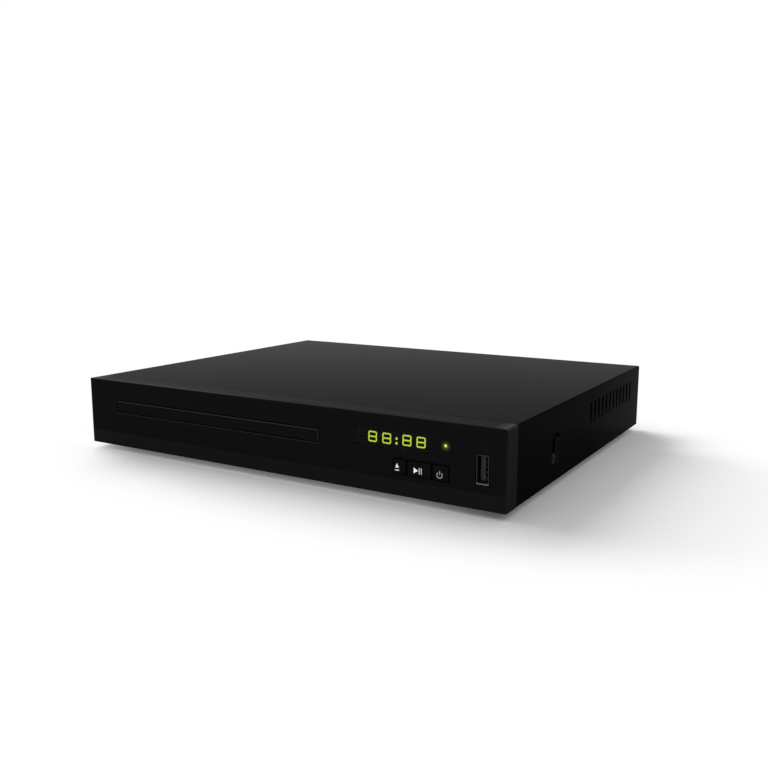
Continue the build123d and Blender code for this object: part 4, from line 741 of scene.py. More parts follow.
@dataclass
class RepeatedForm(GrownPiece):
    """A small form set on many places, each turned to its own way out."""

    seed: int = 7
    turn_freely: bool = False

    def form(self, tree: bpy.types.NodeTree, size: Mapping[str, Socket]) -> Socket:
        """Make one copy of the form at the origin, standing along +Z.

        Args:
            tree: The geometry tree.
            size: The tree's named size inputs.

        Returns:
            The form's geometry.
        """
        raise NotImplementedError

    def shape(self, tree: bpy.types.NodeTree, start: Socket, size: Mapping[str, Socket]) -> Socket:
        """Set the form on every starting point, turned to its outward direction.

        Args:
            tree: The geometry tree.
            start: The mesh whose points are the places.
            size: The tree's named size inputs.

        Returns:
            The copies.
        """
        label = {"Name": "outward"}
        way = add_node(tree, "GeometryNodeInputNamedAttribute", label, data_type="FLOAT_VECTOR")
        turned = add_node(tree, "FunctionNodeAlignRotationToVector", {"Vector": way}, axis="Z")
        if self.turn_freely:
            draw = {2: 0.0, 3: 2.0 * math.pi, "Seed": self.seed}
            chance = add_node(tree, "FunctionNodeRandomValue", draw, out=1, data_type="FLOAT")
            about = add_node(tree, "ShaderNodeCombineXYZ", {"Z": chance})
            spin = add_node(tree, "FunctionNodeEulerToRotation", {"Euler": about})
            both = {"Rotation": turned, "Rotate By": spin}
            turned = add_node(tree, "FunctionNodeRotateRotation", both, rotation_space="LOCAL")
        copies = {"Points": start, "Instance": self.form(tree, size), "Rotation": turned}
        return add_node(tree, "GeometryNodeInstanceOnPoints", copies)

    def grow(self, places: Sequence[Place]) -> bpy.types.Object:
        """Set the form on every place.

        Args:
            places: Pairs of a place in metres and its outward direction.

        Returns:
            The finished piece.
        """
        seeds = bpy.data.meshes.new(f"{self.name}_places")
        seeds.from_pydata([place for place, _ in places], [], [])
        attribute = seeds.attributes.new("outward", "FLOAT_VECTOR", "POINT")
        for at, (_, way) in enumerate(places):
            attribute.data[at].vector = way
        return self.grow_from(seeds)


@dataclass
class CrossScrew(RepeatedForm):
    """A domed screw head with a cross recess, on its shank."""

    turn_freely: bool = True
    dome_power: float = 3.0
    shank_depth: float = -0.49

    def form(self, tree: bpy.types.NodeTree, size: Mapping[str, Socket]) -> Socket:
        """Dome a cylinder, cut the cross and add the shank.

        Args:
            tree: The geometry tree.
            size: The tree's named size inputs.

        Returns:
            The screw, its head's foot at the origin.
        """
        tall, radius = size["Head Height"], size["Head Radius"]
        cells = {"Vertices": 40, "Side Segments": 3, "Fill Segments": 7, "Radius": radius, "Depth": tall}
        head = add_node(tree, "GeometryNodeMeshCylinder", cells, fill_type="NGON")
        # The dome: each point sinks with its distance from the axis and its height in the head.
        place = add_node(tree, "GeometryNodeInputPosition")
        axes = add_node(tree, "ShaderNodeSeparateXYZ", {"Vector": place}).node.outputs
        flat = add_node(tree, "ShaderNodeCombineXYZ", {"X": axes["X"], "Y": axes["Y"]})
        away = add_node(tree, "ShaderNodeVectorMath", {0: flat}, out="Value", operation="LENGTH")
        share = add_node(tree, "ShaderNodeMath", {0: away, 1: radius}, operation="DIVIDE")
        bend = add_node(tree, "ShaderNodeMath", {0: share, 1: self.dome_power}, operation="POWER")
        rise = add_node(tree, "ShaderNodeMath", {0: axes["Z"], 1: tall}, operation="DIVIDE")
        level = add_node(tree, "ShaderNodeMath", {0: rise, 1: 0.5}, operation="ADD")
        drop = add_node(tree, "ShaderNodeMath", {0: bend, 1: level}, operation="MULTIPLY")
        down = add_node(tree, "ShaderNodeMath", {0: tall, 1: -0.5}, operation="MULTIPLY")
        sunk = add_node(tree, "ShaderNodeMath", {0: drop, 1: down}, operation="MULTIPLY")
        offset = add_node(tree, "ShaderNodeCombineXYZ", {"Z": sunk})
        cut = add_node(tree, "GeometryNodeSetPosition", {"Geometry": head, "Offset": offset})
        # The cross: two slots at right angles.
        sides = {"X": size["Recess Length"], "Y": size["Recess Width"], "Z": tall}
        for turn in (0.0, math.pi / 2):
            extent = add_node(tree, "ShaderNodeCombineXYZ", sides)
            slot = add_node(tree, "GeometryNodeMeshCube", {"Size": extent})
            lift = add_node(tree, "ShaderNodeCombineXYZ", {"Z": size["Recess Lift"]})
            put = {"Geometry": slot, "Translation": lift, "Rotation": (0.0, 0.0, turn)}
            tool = {0: cut, 1: add_node(tree, "GeometryNodeTransform", put)}
            cut = add_node(tree, "GeometryNodeMeshBoolean", tool, operation="DIFFERENCE", solver="EXACT")
        # The head stands on the seat, and the shank hangs below it.
        long = size["Shank Length"]
        rod = {"Vertices": 20, "Radius": size["Shank Radius"], "Depth": long}
        shank = add_node(tree, "GeometryNodeMeshCylinder", rod)
        parts = []
        for part, length, stretch in ((cut, tall, 0.5), (shank, long, self.shank_depth)):
            way = add_node(tree, "ShaderNodeMath", {0: length, 1: stretch}, operation="MULTIPLY")
            lift = add_node(tree, "ShaderNodeCombineXYZ", {"Z": way})
            parts.append(add_node(tree, "GeometryNodeTransform", {"Geometry": part, "Translation": lift}))
        return add_node(tree, "GeometryNodeJoinGeometry", {"Geometry": parts})


@dataclass
class BentLeg(RepeatedForm):
    """A chip's leg: out from the body, down and out again."""

    def form(self, tree: bpy.types.NodeTree, size: Mapping[str, Socket]) -> Socket:
        """Join the leg's straight runs; +Z is the way out of the chip.

        Args:
            tree: The geometry tree.
            size: The tree's named size inputs.

        Returns:
            The leg.
        """
        runs = []
        for length, lift, out in (("Out", "High", "Near"), ("Foot", "Low", "Far")):
            sides = {"X": size["Width"], "Y": size["Sheet"], "Z": size[length]}
            extent = add_node(tree, "ShaderNodeCombineXYZ", sides)
            block = add_node(tree, "GeometryNodeMeshCube", {"Size": extent})
            way = add_node(tree, "ShaderNodeCombineXYZ", {"Y": size[lift], "Z": size[out]})
            runs.append(add_node(tree, "GeometryNodeTransform", {"Geometry": block, "Translation": way}))
        return add_node(tree, "GeometryNodeJoinGeometry", {"Geometry": runs})


@dataclass
class SmallBlock(RepeatedForm):
    """A small bevelled block, such as a surface-mounted part or a contact strip."""

    def form(self, tree: bpy.types.NodeTree, size: Mapping[str, Socket]) -> Socket:
        """Make a block whose corners are pinched in, standing on its foot.

        Args:
            tree: The geometry tree.
            size: The tree's named size inputs.

        Returns:
            The block.
        """
        sides = {"X": size["Length"], "Y": size["Width"], "Z": size["Height"]}
        extent = add_node(tree, "ShaderNodeCombineXYZ", sides)
        cells = {"Size": extent, "Vertices X": 4, "Vertices Y": 4, "Vertices Z": 3}
        block = add_node(tree, "GeometryNodeMeshCube", cells)
        smooth = add_node(tree, "GeometryNodeSubdivisionSurface", {"Mesh": block, "Level": 1})
        half = add_node(tree, "ShaderNodeMath", {0: size["Height"], 1: 0.5}, operation="MULTIPLY")
        lift = add_node(tree, "ShaderNodeCombineXYZ", {"Z": half})
        return add_node(tree, "GeometryNodeTransform", {"Geometry": smooth, "Translation": lift})


@dataclass
class RoundBars(GrownPiece):
    """Thin bars with round ends that follow given straight runs."""

    def shape(self, tree: bpy.types.NodeTree, start: Socket, size: Mapping[str, Socket]) -> Socket:
        """Sweep a round section along every run, round its ends, and flatten it front to back.

        Args:
            tree: The geometry tree.
            start: The runs, as a mesh of edges.
            size: The tree's named size inputs.

        Returns:
            The bars.
        """
        radius = size["Bar Radius"]
        lines = add_node(tree, "GeometryNodeMeshToCurve", {"Mesh": start})
        ring = {"Resolution": 16, "Radius": radius}
        section = add_node(tree, "GeometryNodeCurvePrimitiveCircle", ring, mode="RADIUS")
        sweep = {"Curve": lines, "Profile Curve": section, "Fill Caps": True}
        swept = add_node(tree, "GeometryNodeCurveToMesh", sweep)
        ball = add_node(tree, "GeometryNodeMeshUVSphere", {"Segments": 16, "Rings": 8, "Radius": radius})
        ends = add_node(tree, "GeometryNodeInstanceOnPoints", {"Points": start, "Instance": ball})
        both = add_node(tree, "GeometryNodeJoinGeometry", {"Geometry": [swept, ends]})
        real = add_node(tree, "GeometryNodeRealizeInstances", {"Geometry": both})
        round_depth = add_node(tree, "ShaderNodeMath", {0: radius, 1: 2.0}, operation="MULTIPLY")
        depths = {0: size["Bar Depth"], 1: round_depth}
        thin = add_node(tree, "ShaderNodeMath", depths, operation="DIVIDE")
        scale = add_node(tree, "ShaderNodeCombineXYZ", {"X": 1.0, "Y": thin, "Z": 1.0})
        return add_node(tree, "GeometryNodeTransform", {"Geometry": real, "Scale": scale})

    def follow(self, runs: Sequence[Place]) -> bpy.types.Object:
        """Lay bars along runs that share one depth.

        Args:
            runs: Both ends of each run, in metres.

        Returns:
            The finished piece, at the origin and unturned.
        """
        seeds = bpy.data.meshes.new(f"{self.name}_runs")
        ends = [(x, 0.0, z) for run in runs for x, _, z in run]
        seeds.from_pydata(ends, [(2 * at, 2 * at + 1) for at in range(len(runs))], [])
        piece = self.grow_from(seeds)
        piece.data.transform(Matrix.Translation((0.0, runs[0][0][1], 0.0)))
        shade_smooth(piece)
        return piece


@dataclass
class RidgeRings(GrownPiece):
    """Evenly spaced round ridges about one middle."""

    rings: int = 4

    def shape(self, tree: bpy.types.NodeTree, start: Socket, size: Mapping[str, Socket]) -> Socket:
        """Sweep a round section along circles of growing radius.

        Args:
            tree: The geometry tree.
            start: The starting mesh, which is not used.
            size: The tree's named size inputs.

        Returns:
            The ridges.
        """
        line = {"Count": self.rings, "Offset": (0.0, 0.0, 0.0)}
        row = add_node(tree, "GeometryNodeMeshLine", line, mode="OFFSET")
        number = add_node(tree, "GeometryNodeInputIndex")
        step = add_node(tree, "ShaderNodeMath", {0: number, 1: size["Ring Pitch"]}, operation="MULTIPLY")
        radius = add_node(tree, "ShaderNodeMath", {0: step, 1: size["Inner Radius"]}, operation="ADD")
        whole = {"Resolution": 120, "Radius": 1.0}
        circle = add_node(tree, "GeometryNodeCurvePrimitiveCircle", whole, mode="RADIUS")
        copies = {"Points": row, "Instance": circle, "Scale": radius}
        circles = add_node(tree, "GeometryNodeInstanceOnPoints", copies)
        real = add_node(tree, "GeometryNodeRealizeInstances", {"Geometry": circles})
        ridge = {"Resolution": 8, "Radius": size["Ridge Radius"]}
        section = add_node(tree, "GeometryNodeCurvePrimitiveCircle", ridge, mode="RADIUS")
        return add_node(tree, "GeometryNodeCurveToMesh", {"Curve": real, "Profile Curve": section})


# Sub-assemblies


@dataclass
class SubAssembly:
    """A group of nodes and pieces that belong together."""

    nodes: Mapping[str, bpy.types.Object]

    def finishes(self) -> dict[str, Finish]:
        """Name the finish of each carried-over node."""
        return {}

    def pieces(self) -> None:
        """Build this sub-assembly's own pieces."""

    def build(self) -> None:
        """Dress the nodes, then build the pieces."""
        for name, finish in self.finishes().items():
            dress(self.nodes[name], finish)
        self.pieces()
        log.info("%s: %d nodes dressed", type(self).__name__, len(self.finishes()))


def dress(piece: bpy.types.Object, finish: Finish) -> None:
    """Give every material slot of a piece one finish.

    Args:
        piece: The piece or carried-over node.
        finish: What it is given.
    """
    if not piece.material_slots:
        piece.data.materials.append(finish.material())
    for held in piece.material_slots:
        held.material = finish.material()


def settle(
    piece: bpy.types.Object, body: str, stands_for: Iterable[str] = ()
) -> bpy.types.Object:
    """Fix a finished piece to its body and hide the CAD nodes that it stands for.

    Args:
        piece: The finished piece.
        body: The CAD body it rides on.
        stands_for: The CAD nodes it replaces.

    Returns:
        The same piece.
    """
    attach(piece, body)
    names = list(stands_for)
    if names:
        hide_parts(*names)
    log.info("piece %s: %d faces on %s", piece.name, len(piece.data.polygons), body)
    return piece


def shade_smooth(piece: bpy.types.Object, angle: float = 40.0) -> None:
    """Shade a piece smooth, but keep its sharp edges crisp.

    Args:
        piece: The piece.
        angle: From how many degrees an edge is sharp.
    """
    for polygon in piece.data.polygons:
        polygon.use_smooth = True
    made = bmesh.new()
    made.from_mesh(piece.data)
    limit = math.radians(angle)
    for edge in made.edges:
        edge.smooth = len(edge.link_faces) == 2 and edge.calc_face_angle(0.0) < limit
    made.to_mesh(piece.data)
    made.free()


@dataclass(frozen=True)
class ScrewKind:
    """One kind of cross screw: its finish, slot and sizes in millimetres."""

    finish: Finish
    slot: str
    head: Pair
    recess: Point
    shank: Pair

    def drive(self, name: str, node: str, seats: Sequence[Place]) -> None:
        """Drive such screws into the housing, in place of the CAD's plain ones.

        Args:
            name: The new piece's name.
            node: The CAD node that it stands for.
            seats: The screws' seats, in metres, with their outward directions.
        """
        names = ("Head Radius", "Head Height", "Recess Length", "Recess Width", "Recess Lift")
        numbers = (*self.head, *self.recess, *self.shank)
        sizes = dict(zip((*names, "Shank Radius", "Shank Length"), numbers, strict=True))
        piece = CrossScrew(name, self.finish, sizes).grow(seats)
        shade_smooth(piece)
        settle(piece, "housing", [node])


COVER_SCREW = ScrewKind(Finishes.black_screw, "black_screw", (2.85, 1.55), (3.1, 0.75, 0.75), (1.35, 5.6))
BOARD_SCREW = ScrewKind(Finishes.zinc_plate, "zinc_steel", (2.55, 1.35), (2.8, 0.6, 0.65), (1.3, 5.6))
PAN_SCREW = ScrewKind(Finishes.zinc_plate, "zinc_steel", (2.65, 1.45), (2.9, 0.62, 0.7), (1.3, 4.8))


@dataclass
class Enclosure(SubAssembly):
    """The painted cover, the front moulding, the pan, the rear panel, the feet and their screws."""

    side_seat: Point = (128.0, -48.9, 14.2)
    rear_xs: Point = (-108.0, 0.0, 108.0)
    rear_y: float = 102.0
    rear_z: float = 36.8

    def finishes(self) -> dict[str, Finish]:
        """Name the finish of each outer piece.

        Returns:
            The finishes by node.
        """
        return {
            "front_bezel": Finishes.front_moulding,
            "top_cover": Finishes.cover_paint,
            "chassis_base": Finishes.galvanised,
            "back_panel": Finishes.galvanised,
            "rubber_feet": Finishes.foot_rubber,
        }

    def pieces(self) -> None:
        """Set the cover's own screws, with their cross recesses."""
        out, y, z = self.side_seat
        sides = [(metres(side * out, y, z), (side, 0.0, 0.0)) for side in (-1.0, 1.0)]
        COVER_SCREW.drive("side_cross_screws", "side_screws", sides)
        rears = [(metres(x, self.rear_y, self.rear_z), REARWARD) for x in self.rear_xs]
        COVER_SCREW.drive("rear_cross_screws", "rear_screws", rears)


class Mark(Enum):
    """The plain control marks on the buttons."""

    EJECT = "eject"
    PLAY = "play"
    POWER = "power"


@dataclass
class PrintedMark:
    """One control mark, printed in white on a button's face."""

    kind: Mark
    x: float
    z: float
    face_y: float = -109.9
    ink: float = 0.04
    arc_radius: float = 1.35
    arc_stroke: float = 0.4
    arc_gap: float = 38.0
    arc_drop: float = 0.25
    arc_steps: int = 40

    def outlines(self) -> list[list[Pair]]:
        """Give the mark's closed outlines.

        Returns:
            The outlines, in millimetres about the mark's middle.
        """
        if self.kind is Mark.EJECT:
            triangle = [(-0.95, -0.35), (0.95, -0.35), (0.0, 1.75)]
            return [triangle, upright_bar(-1.1, 1.1, -1.72, -1.3)]
        if self.kind is Mark.PLAY:
            triangle = [(-2.1, -1.45), (0.2, -0.1), (-2.1, 1.25)]
            return [triangle, *(upright_bar(x, x + 0.28, -1.6, 1.35) for x in (0.62, 1.7))]
        return [upright_bar(-0.2, 0.2, -0.1, 1.7), *self.arc()]

    def arc(self) -> list[list[Pair]]:
        """Give the power mark's open ring as short four-sided outlines.

        Returns:
            The outlines, in millimetres about the mark's middle.
        """
        start, end = math.radians(90 + self.arc_gap), math.radians(450 - self.arc_gap)
        inner, outer = self.arc_radius - self.arc_stroke / 2, self.arc_radius + self.arc_stroke / 2
        turns = [start + (end - start) * at / self.arc_steps for at in range(self.arc_steps + 1)]
        return [
            [
                (radius * math.cos(turn), radius * math.sin(turn) - self.arc_drop)
                for radius, turn in ((inner, a), (outer, a), (outer, b), (inner, b))
            ]
            for a, b in zip(turns, turns[1:])
        ]

    def print_on(self, body: str) -> None:
        """Lay the ink as a thin raised film on its button.

        Args:
            body: The button's body.
        """
        made = bmesh.new()
        front = self.face_y - self.ink
        for outline in self.outlines():
            made.faces.new([made.verts.new(metres(self.x + x, front, self.z + z)) for x, z in outline])
        bmesh.ops.remove_doubles(made, verts=made.verts, dist=1e-6)
        grown = bmesh.ops.extrude_face_region(made, geom=list(made.faces))
        back = [part for part in grown["geom"] if isinstance(part, bmesh.types.BMVert)]
        bmesh.ops.translate(made, verts=back, vec=metres(0.0, self.ink, 0.0))
        bmesh.ops.recalc_face_normals(made, faces=made.faces)
        mesh = bpy.data.meshes.new(f"mark_{self.kind.value}")
        made.to_mesh(mesh)
        made.free()
        piece = link_piece(mesh.name, mesh)
        dress(piece, Finishes.grey_ink if self.kind is Mark.POWER else Finishes.white_ink)
        settle(piece, body)


def upright_bar(left: float, right: float, low: float, high: float) -> list[Pair]:
    """Give a bar's four corners."""
    return [(left, low), (right, low), (right, high), (left, high)]


@dataclass
class FrontControls(SubAssembly):
    """The display, the pilot light, the buttons with their marks and the upright data socket."""

    eject_mark: Pair = (75.75, 17.1)
    play_mark: Pair = (86.6, 16.8)
    power_mark: Pair = (97.8, 16.55)
    contact_row: Point = (118.41, -102.4, 21.75)
    contact_pitch: float = 2.3
    contact_count: int = 4
    digit_lefts: tuple[float, ...] = (58.35, 66.05, 76.9, 84.3)
    digit_lifts: tuple[float, ...] = (0.1, 0.1, 0.4, 0.4)
    digit_width: float = 4.1
    digit_height: float = 4.5
    digit_stroke: float = 0.7
    digit_depth: float = 0.3
    digit_lean: float = 0.02
    digit_middle_z: float = 28.85
    digit_y: float = -106.55
    colon_x: float = 73.45
    colon_rises: Pair = (0.65, 2.9)
    colon_half: Pair = (0.26, 0.22)
    board_screw_y: float = -94.55
    board_screws: tuple[Pair, ...] = ((64.6, 13.4), (106.8, 35.4), (108.2, 13.4))

    def finishes(self) -> dict[str, Finish]:
        """Name the finish of each front piece.

        Returns:
            The finishes by node.
        """
        return {
            "display_window": Finishes.window_sheet,
            "power_led": Finishes.pilot_pipe,
            "eject_button": Finishes.button_moulding,
            "play_button": Finishes.button_moulding,
            "power_button": Finishes.button_moulding,
            "tact_switches": Finishes.chip_epoxy,
            "socket_shell": Finishes.socket_nickel,
            "socket_tongue": Finishes.contact_carrier,
            "front_board": Finishes.tan_board,
            "clock_display": Finishes.module_case,
            "ir_receiver": Finishes.module_case,
        }

    def digits(self) -> None:
        """Light four digits and a colon, each bar with rounded ends, in front of the module's face."""
        runs: list[Place] = []
        half = self.digit_height / 2
        low = self.digit_middle_z - half
        end = self.digit_stroke / 2
        for left, lift in zip(self.digit_lefts, self.digit_lifts, strict=True):
            right = left + self.digit_width
            for rise in (0.0, half, 2 * half):
                runs.append(self.bar((left + end, rise), (right - end, rise), lift + low))
            for x in (left, right):
                for rise in (0.0, half):
                    runs.append(self.bar((x, rise + end), (x, rise + half - end), lift + low))
        wide, tall = self.colon_half
        for middle in self.colon_rises:
            for rise in (middle - tall, middle + tall):
                runs.append(self.bar((self.colon_x - wide, rise), (self.colon_x + wide, rise), low))
        sizes = {"Bar Radius": self.digit_stroke / 2, "Bar Depth": self.digit_depth}
        bars = RoundBars("clock_digits", Finishes.display_bars, sizes)
        settle(bars.follow(runs), "housing", ["display_segments"])

    def bar(self, start: Pair, stop: Pair, low: float) -> Place:
        """Lean one bar's ends over and put them in front of the module, in metres.

        Args:
            start: One end's place along the digit and its rise, in millimetres.
            stop: The other end's.
            low: The digits' foot.

        Returns:
            Both ends.
        """
        first, last = (
            metres(x + rise * self.digit_lean, self.digit_y, low + rise) for x, rise in (start, stop)
        )
        return (first, last)

    def pieces(self) -> None:
        """Print the marks, lay the contacts and drive the board's screws."""
        PrintedMark(Mark.EJECT, *self.eject_mark).print_on("eject_button")
        PrintedMark(Mark.PLAY, *self.play_mark).print_on("play_button")
        PrintedMark(Mark.POWER, *self.power_mark).print_on("power_button")
        self.digits()
        sizes = {"Length": 0.9, "Width": 6.4, "Height": 0.18}
        x, y, z = self.contact_row
        middle = (self.contact_count - 1) / 2
        rises = [z + (at - middle) * self.contact_pitch for at in range(self.contact_count)]
        contacts = SmallBlock("socket_contacts", Finishes.gold_flash, sizes)
        rightward = (1.0, 0.0, 0.0)
        settle(contacts.grow([(metres(x, y, rise), rightward) for rise in rises]), "housing")
        seats = [(metres(x, self.board_screw_y, z), REARWARD) for x, z in self.board_screws]
        BOARD_SCREW.drive("front_board_cross_screws", "front_board_screws", seats)


@dataclass
class DiscLoader(SubAssembly):
    """The tray, its frame and drive, the swinging deck, the spindle and the pickup."""

    recess_middle: Point = (-38.15, -37.0, 26.9)
    frame_xs: Pair = (-113.25, 36.95)
    frame_ys: Pair = (-86.0, 77.0)
    frame_seat: float = 9.7

    def finishes(self) -> dict[str, Finish]:
        """Name the finish of each piece of the drive.

        Returns:
            The finishes by node.
        """
        return {
            "tray_door": Finishes.door_moulding,
            "disc_tray": Finishes.tray_moulding,
            "loader_frame": Finishes.frame_moulding,
            "clamp_bridge": Finishes.galvanised,
            "clamp_puck": Finishes.puck_acetal,
            "drive_gear": Finishes.acetal,
            "pulley_gear": Finishes.acetal,
            "motor_pulley": Finishes.acetal,
            "drive_belt": Finishes.belt_rubber,
            "loading_motor": Finishes.motor_can,
            "cam_slider": Finishes.acetal,
            "traverse_deck": Finishes.galvanised,
            "spindle_motor": Finishes.motor_can,
            "turntable": Finishes.turntable,
            "guide_rods": Finishes.ground_rod,
            "lead_screw": Finishes.ground_rod,
            "sled_motor": Finishes.motor_can,
            "pickup_sled": Finishes.die_cast,
            "objective_lens": Finishes.lens,
        }

    def pieces(self) -> None:
        """Lay the tray's fine ridges, and drive the frame's screws."""
        sizes = {"Inner Radius": 44.0, "Ring Pitch": 4.0, "Ridge Radius": 0.22}
        rings = RidgeRings("tray_ridges", Finishes.tray_moulding, sizes)
        ridges = rings.grow_from(bpy.data.meshes.new("tray_ridges_start"))
        ridges.data.transform(Matrix.Translation(metres(*self.recess_middle)))
        shade_smooth(ridges)
        settle(ridges, "tray")
        seats = [(metres(x, y, self.frame_seat), UP) for x in self.frame_xs for y in self.frame_ys]
        PAN_SCREW.drive("loader_cross_screws", "loader_screws", seats)


@dataclass
class Electronics(SubAssembly):
    """The boards and everything soldered on them.

    A board is its X and Y ranges in millimetres, a chip these and its height.
    """

    board_top: float = 10.9
    main_board: tuple[float, ...] = (45.0, 104.6, 2.0, 99.0)
    power_board: tuple[float, ...] = (52.0, 123.15, -86.0, -6.0)
    screw_margins: Pair = (4.5, 14.5)
    seed: int = 11
    chips: tuple[tuple[float, ...], ...] = (
        (63.0, 83.0, 32.0, 52.0, 1.4),
        (89.0, 99.0, 34.0, 56.0, 1.1),
        (53.0, 59.0, 38.0, 46.0, 1.1),
        (59.0, 75.0, 16.0, 26.0, 1.8),
    )
    cans: tuple[Pair, ...] = ((55.0, 60.0), (93.0, 24.0), (93.0, 14.0))
    leg_pitch: float = 0.8
    leg_margin: float = 1.2
    leg_rise: float = 0.6
    tallest_legged: float = 1.2
    wide_chip: float = 15.0
    part_pitch: float = 4.4
    part_corner: Pair = (5.0, 12.0)
    part_margins: Pair = (8, 34)
    bare_share: float = 0.45
    chip_gap: float = 3
    foot_gap: float = 5.5
    can_gap: float = 6.0
    scatter: Point = (12.9898, 78.233, 43758.5453)

    def finishes(self) -> dict[str, Finish]:
        """Name the finish of each piece on the boards.

        Returns:
            The finishes by node.
        """
        return {
            "power_board": Finishes.tan_board,
            "main_board": Finishes.green_board,
            "main_chips": Finishes.chip_epoxy,
            "board_capacitors": Finishes.can_sleeve,
            "mains_capacitor": Finishes.can_sleeve,
            "transformer": Finishes.ferrite,
            "heat_sink": Finishes.aluminium,
            "power_connector": Finishes.connector,
            "mains_wires": Finishes.wire,
            "front_ribbon": Finishes.flat_cable,
        }

    def pieces(self) -> None:
        """Set the boards' screws, the chips' legs and the small parts."""
        near, far = self.screw_margins
        feet = [
            (x, y)
            for x0, x1, y0, y1 in (self.power_board, self.main_board)
            for x in (x0 + near, x1 - near)
            for y in (y0 + near, y1 - far)
        ]
        seats = [(metres(x, y, self.board_top), UP) for x, y in feet]
        PAN_SCREW.drive("board_cross_screws", "board_screws", seats)
        sizes = {"Width": 0.32, "Sheet": 0.14, "Out": 0.5, "High": -0.3, "Near": 0.25}
        sizes |= {"Foot": 0.6, "Low": -0.62, "Far": 0.7}
        legs = BentLeg("chip_legs", Finishes.nickel_plate, sizes)
        settle(legs.grow(self.leg_places()), "housing")
        sizes = {"Length": 2.0, "Width": 1.25, "Height": 0.55}
        parts = SmallBlock("small_parts", Finishes.ceramic_part, sizes)
        settle(parts.grow(self.part_places(feet)), "housing")

    def leg_places(self) -> list[Place]:
        """Space the legs along the chips' long sides, and round the whole of a wide chip.

        Returns:
            The legs' places, with their ways out.
        """
        pitch = self.leg_pitch
        places = []
        for x0, x1, y0, y1, tall in self.chips:
            z = self.board_top + min(tall, self.tallest_legged) * self.leg_rise
            for at in range(int((y1 - y0 - self.leg_margin) / pitch)):
                y = y0 + pitch + at * pitch
                places += [(metres(x0, y, z), (-1.0, 0.0, 0.0)), (metres(x1, y, z), (1.0, 0.0, 0.0))]
            if x1 - x0 < self.wide_chip:
                continue
            for at in range(int((x1 - x0 - self.leg_margin) / pitch)):
                x = x0 + pitch + at * pitch
                places += [(metres(x, y0, z), (0.0, -1.0, 0.0)), (metres(x, y1, z), REARWARD)]
        return places

    def part_places(self, feet: Sequence[Pair]) -> list[Place]:
        """Scatter small parts over the main board's free places, the same way each run.

        Args:
            feet: The boards' screws.

        Returns:
            The parts' places, all facing up.
        """
        places = []
        x0, x1, y0, y1 = self.main_board
        left, front = self.part_corner
        wide, deep = self.part_margins
        by_row, by_column, spread = self.scatter
        step = self.part_pitch
        gap = self.chip_gap
        for row in range(int((y1 - y0 - deep) / step)):
            for column in range(int((x1 - x0 - wide) / step)):
                x = x0 + left + column * step
                y = y0 + front + row * step
                chance = math.sin(self.seed + by_row * row + by_column * column) * spread
                bare = chance - math.floor(chance) < self.bare_share
                by_chip = any(a - gap < x < b + gap and c - gap < y < d + gap for a, b, c, d, _ in self.chips)
                by_foot = any(math.hypot(x - a, y - b) < self.foot_gap for a, b in feet)
                by_can = any(math.hypot(x - a, y - b) < self.can_gap for a, b in self.cans)
                if not (bare or by_chip or by_foot or by_can):
                    places.append((metres(x, y, self.board_top), UP))
        return places


@dataclass
class RearSockets(SubAssembly):
    """The round sockets, the digital video socket and the mains inlet."""

    def finishes(self) -> dict[str, Finish]:
        """Name the finish of each socket.

        Returns:
            The finishes by node.
        """
        return {
            "video_socket": Finishes.nickel_plate,
            "av_jacks": Finishes.jack_block,
            "jack_collars": Finishes.nickel_plate,
            "mains_inlet": Finishes.inlet_moulding,
            "inlet_pins": Finishes.tinned_brass,
        }


# Studio


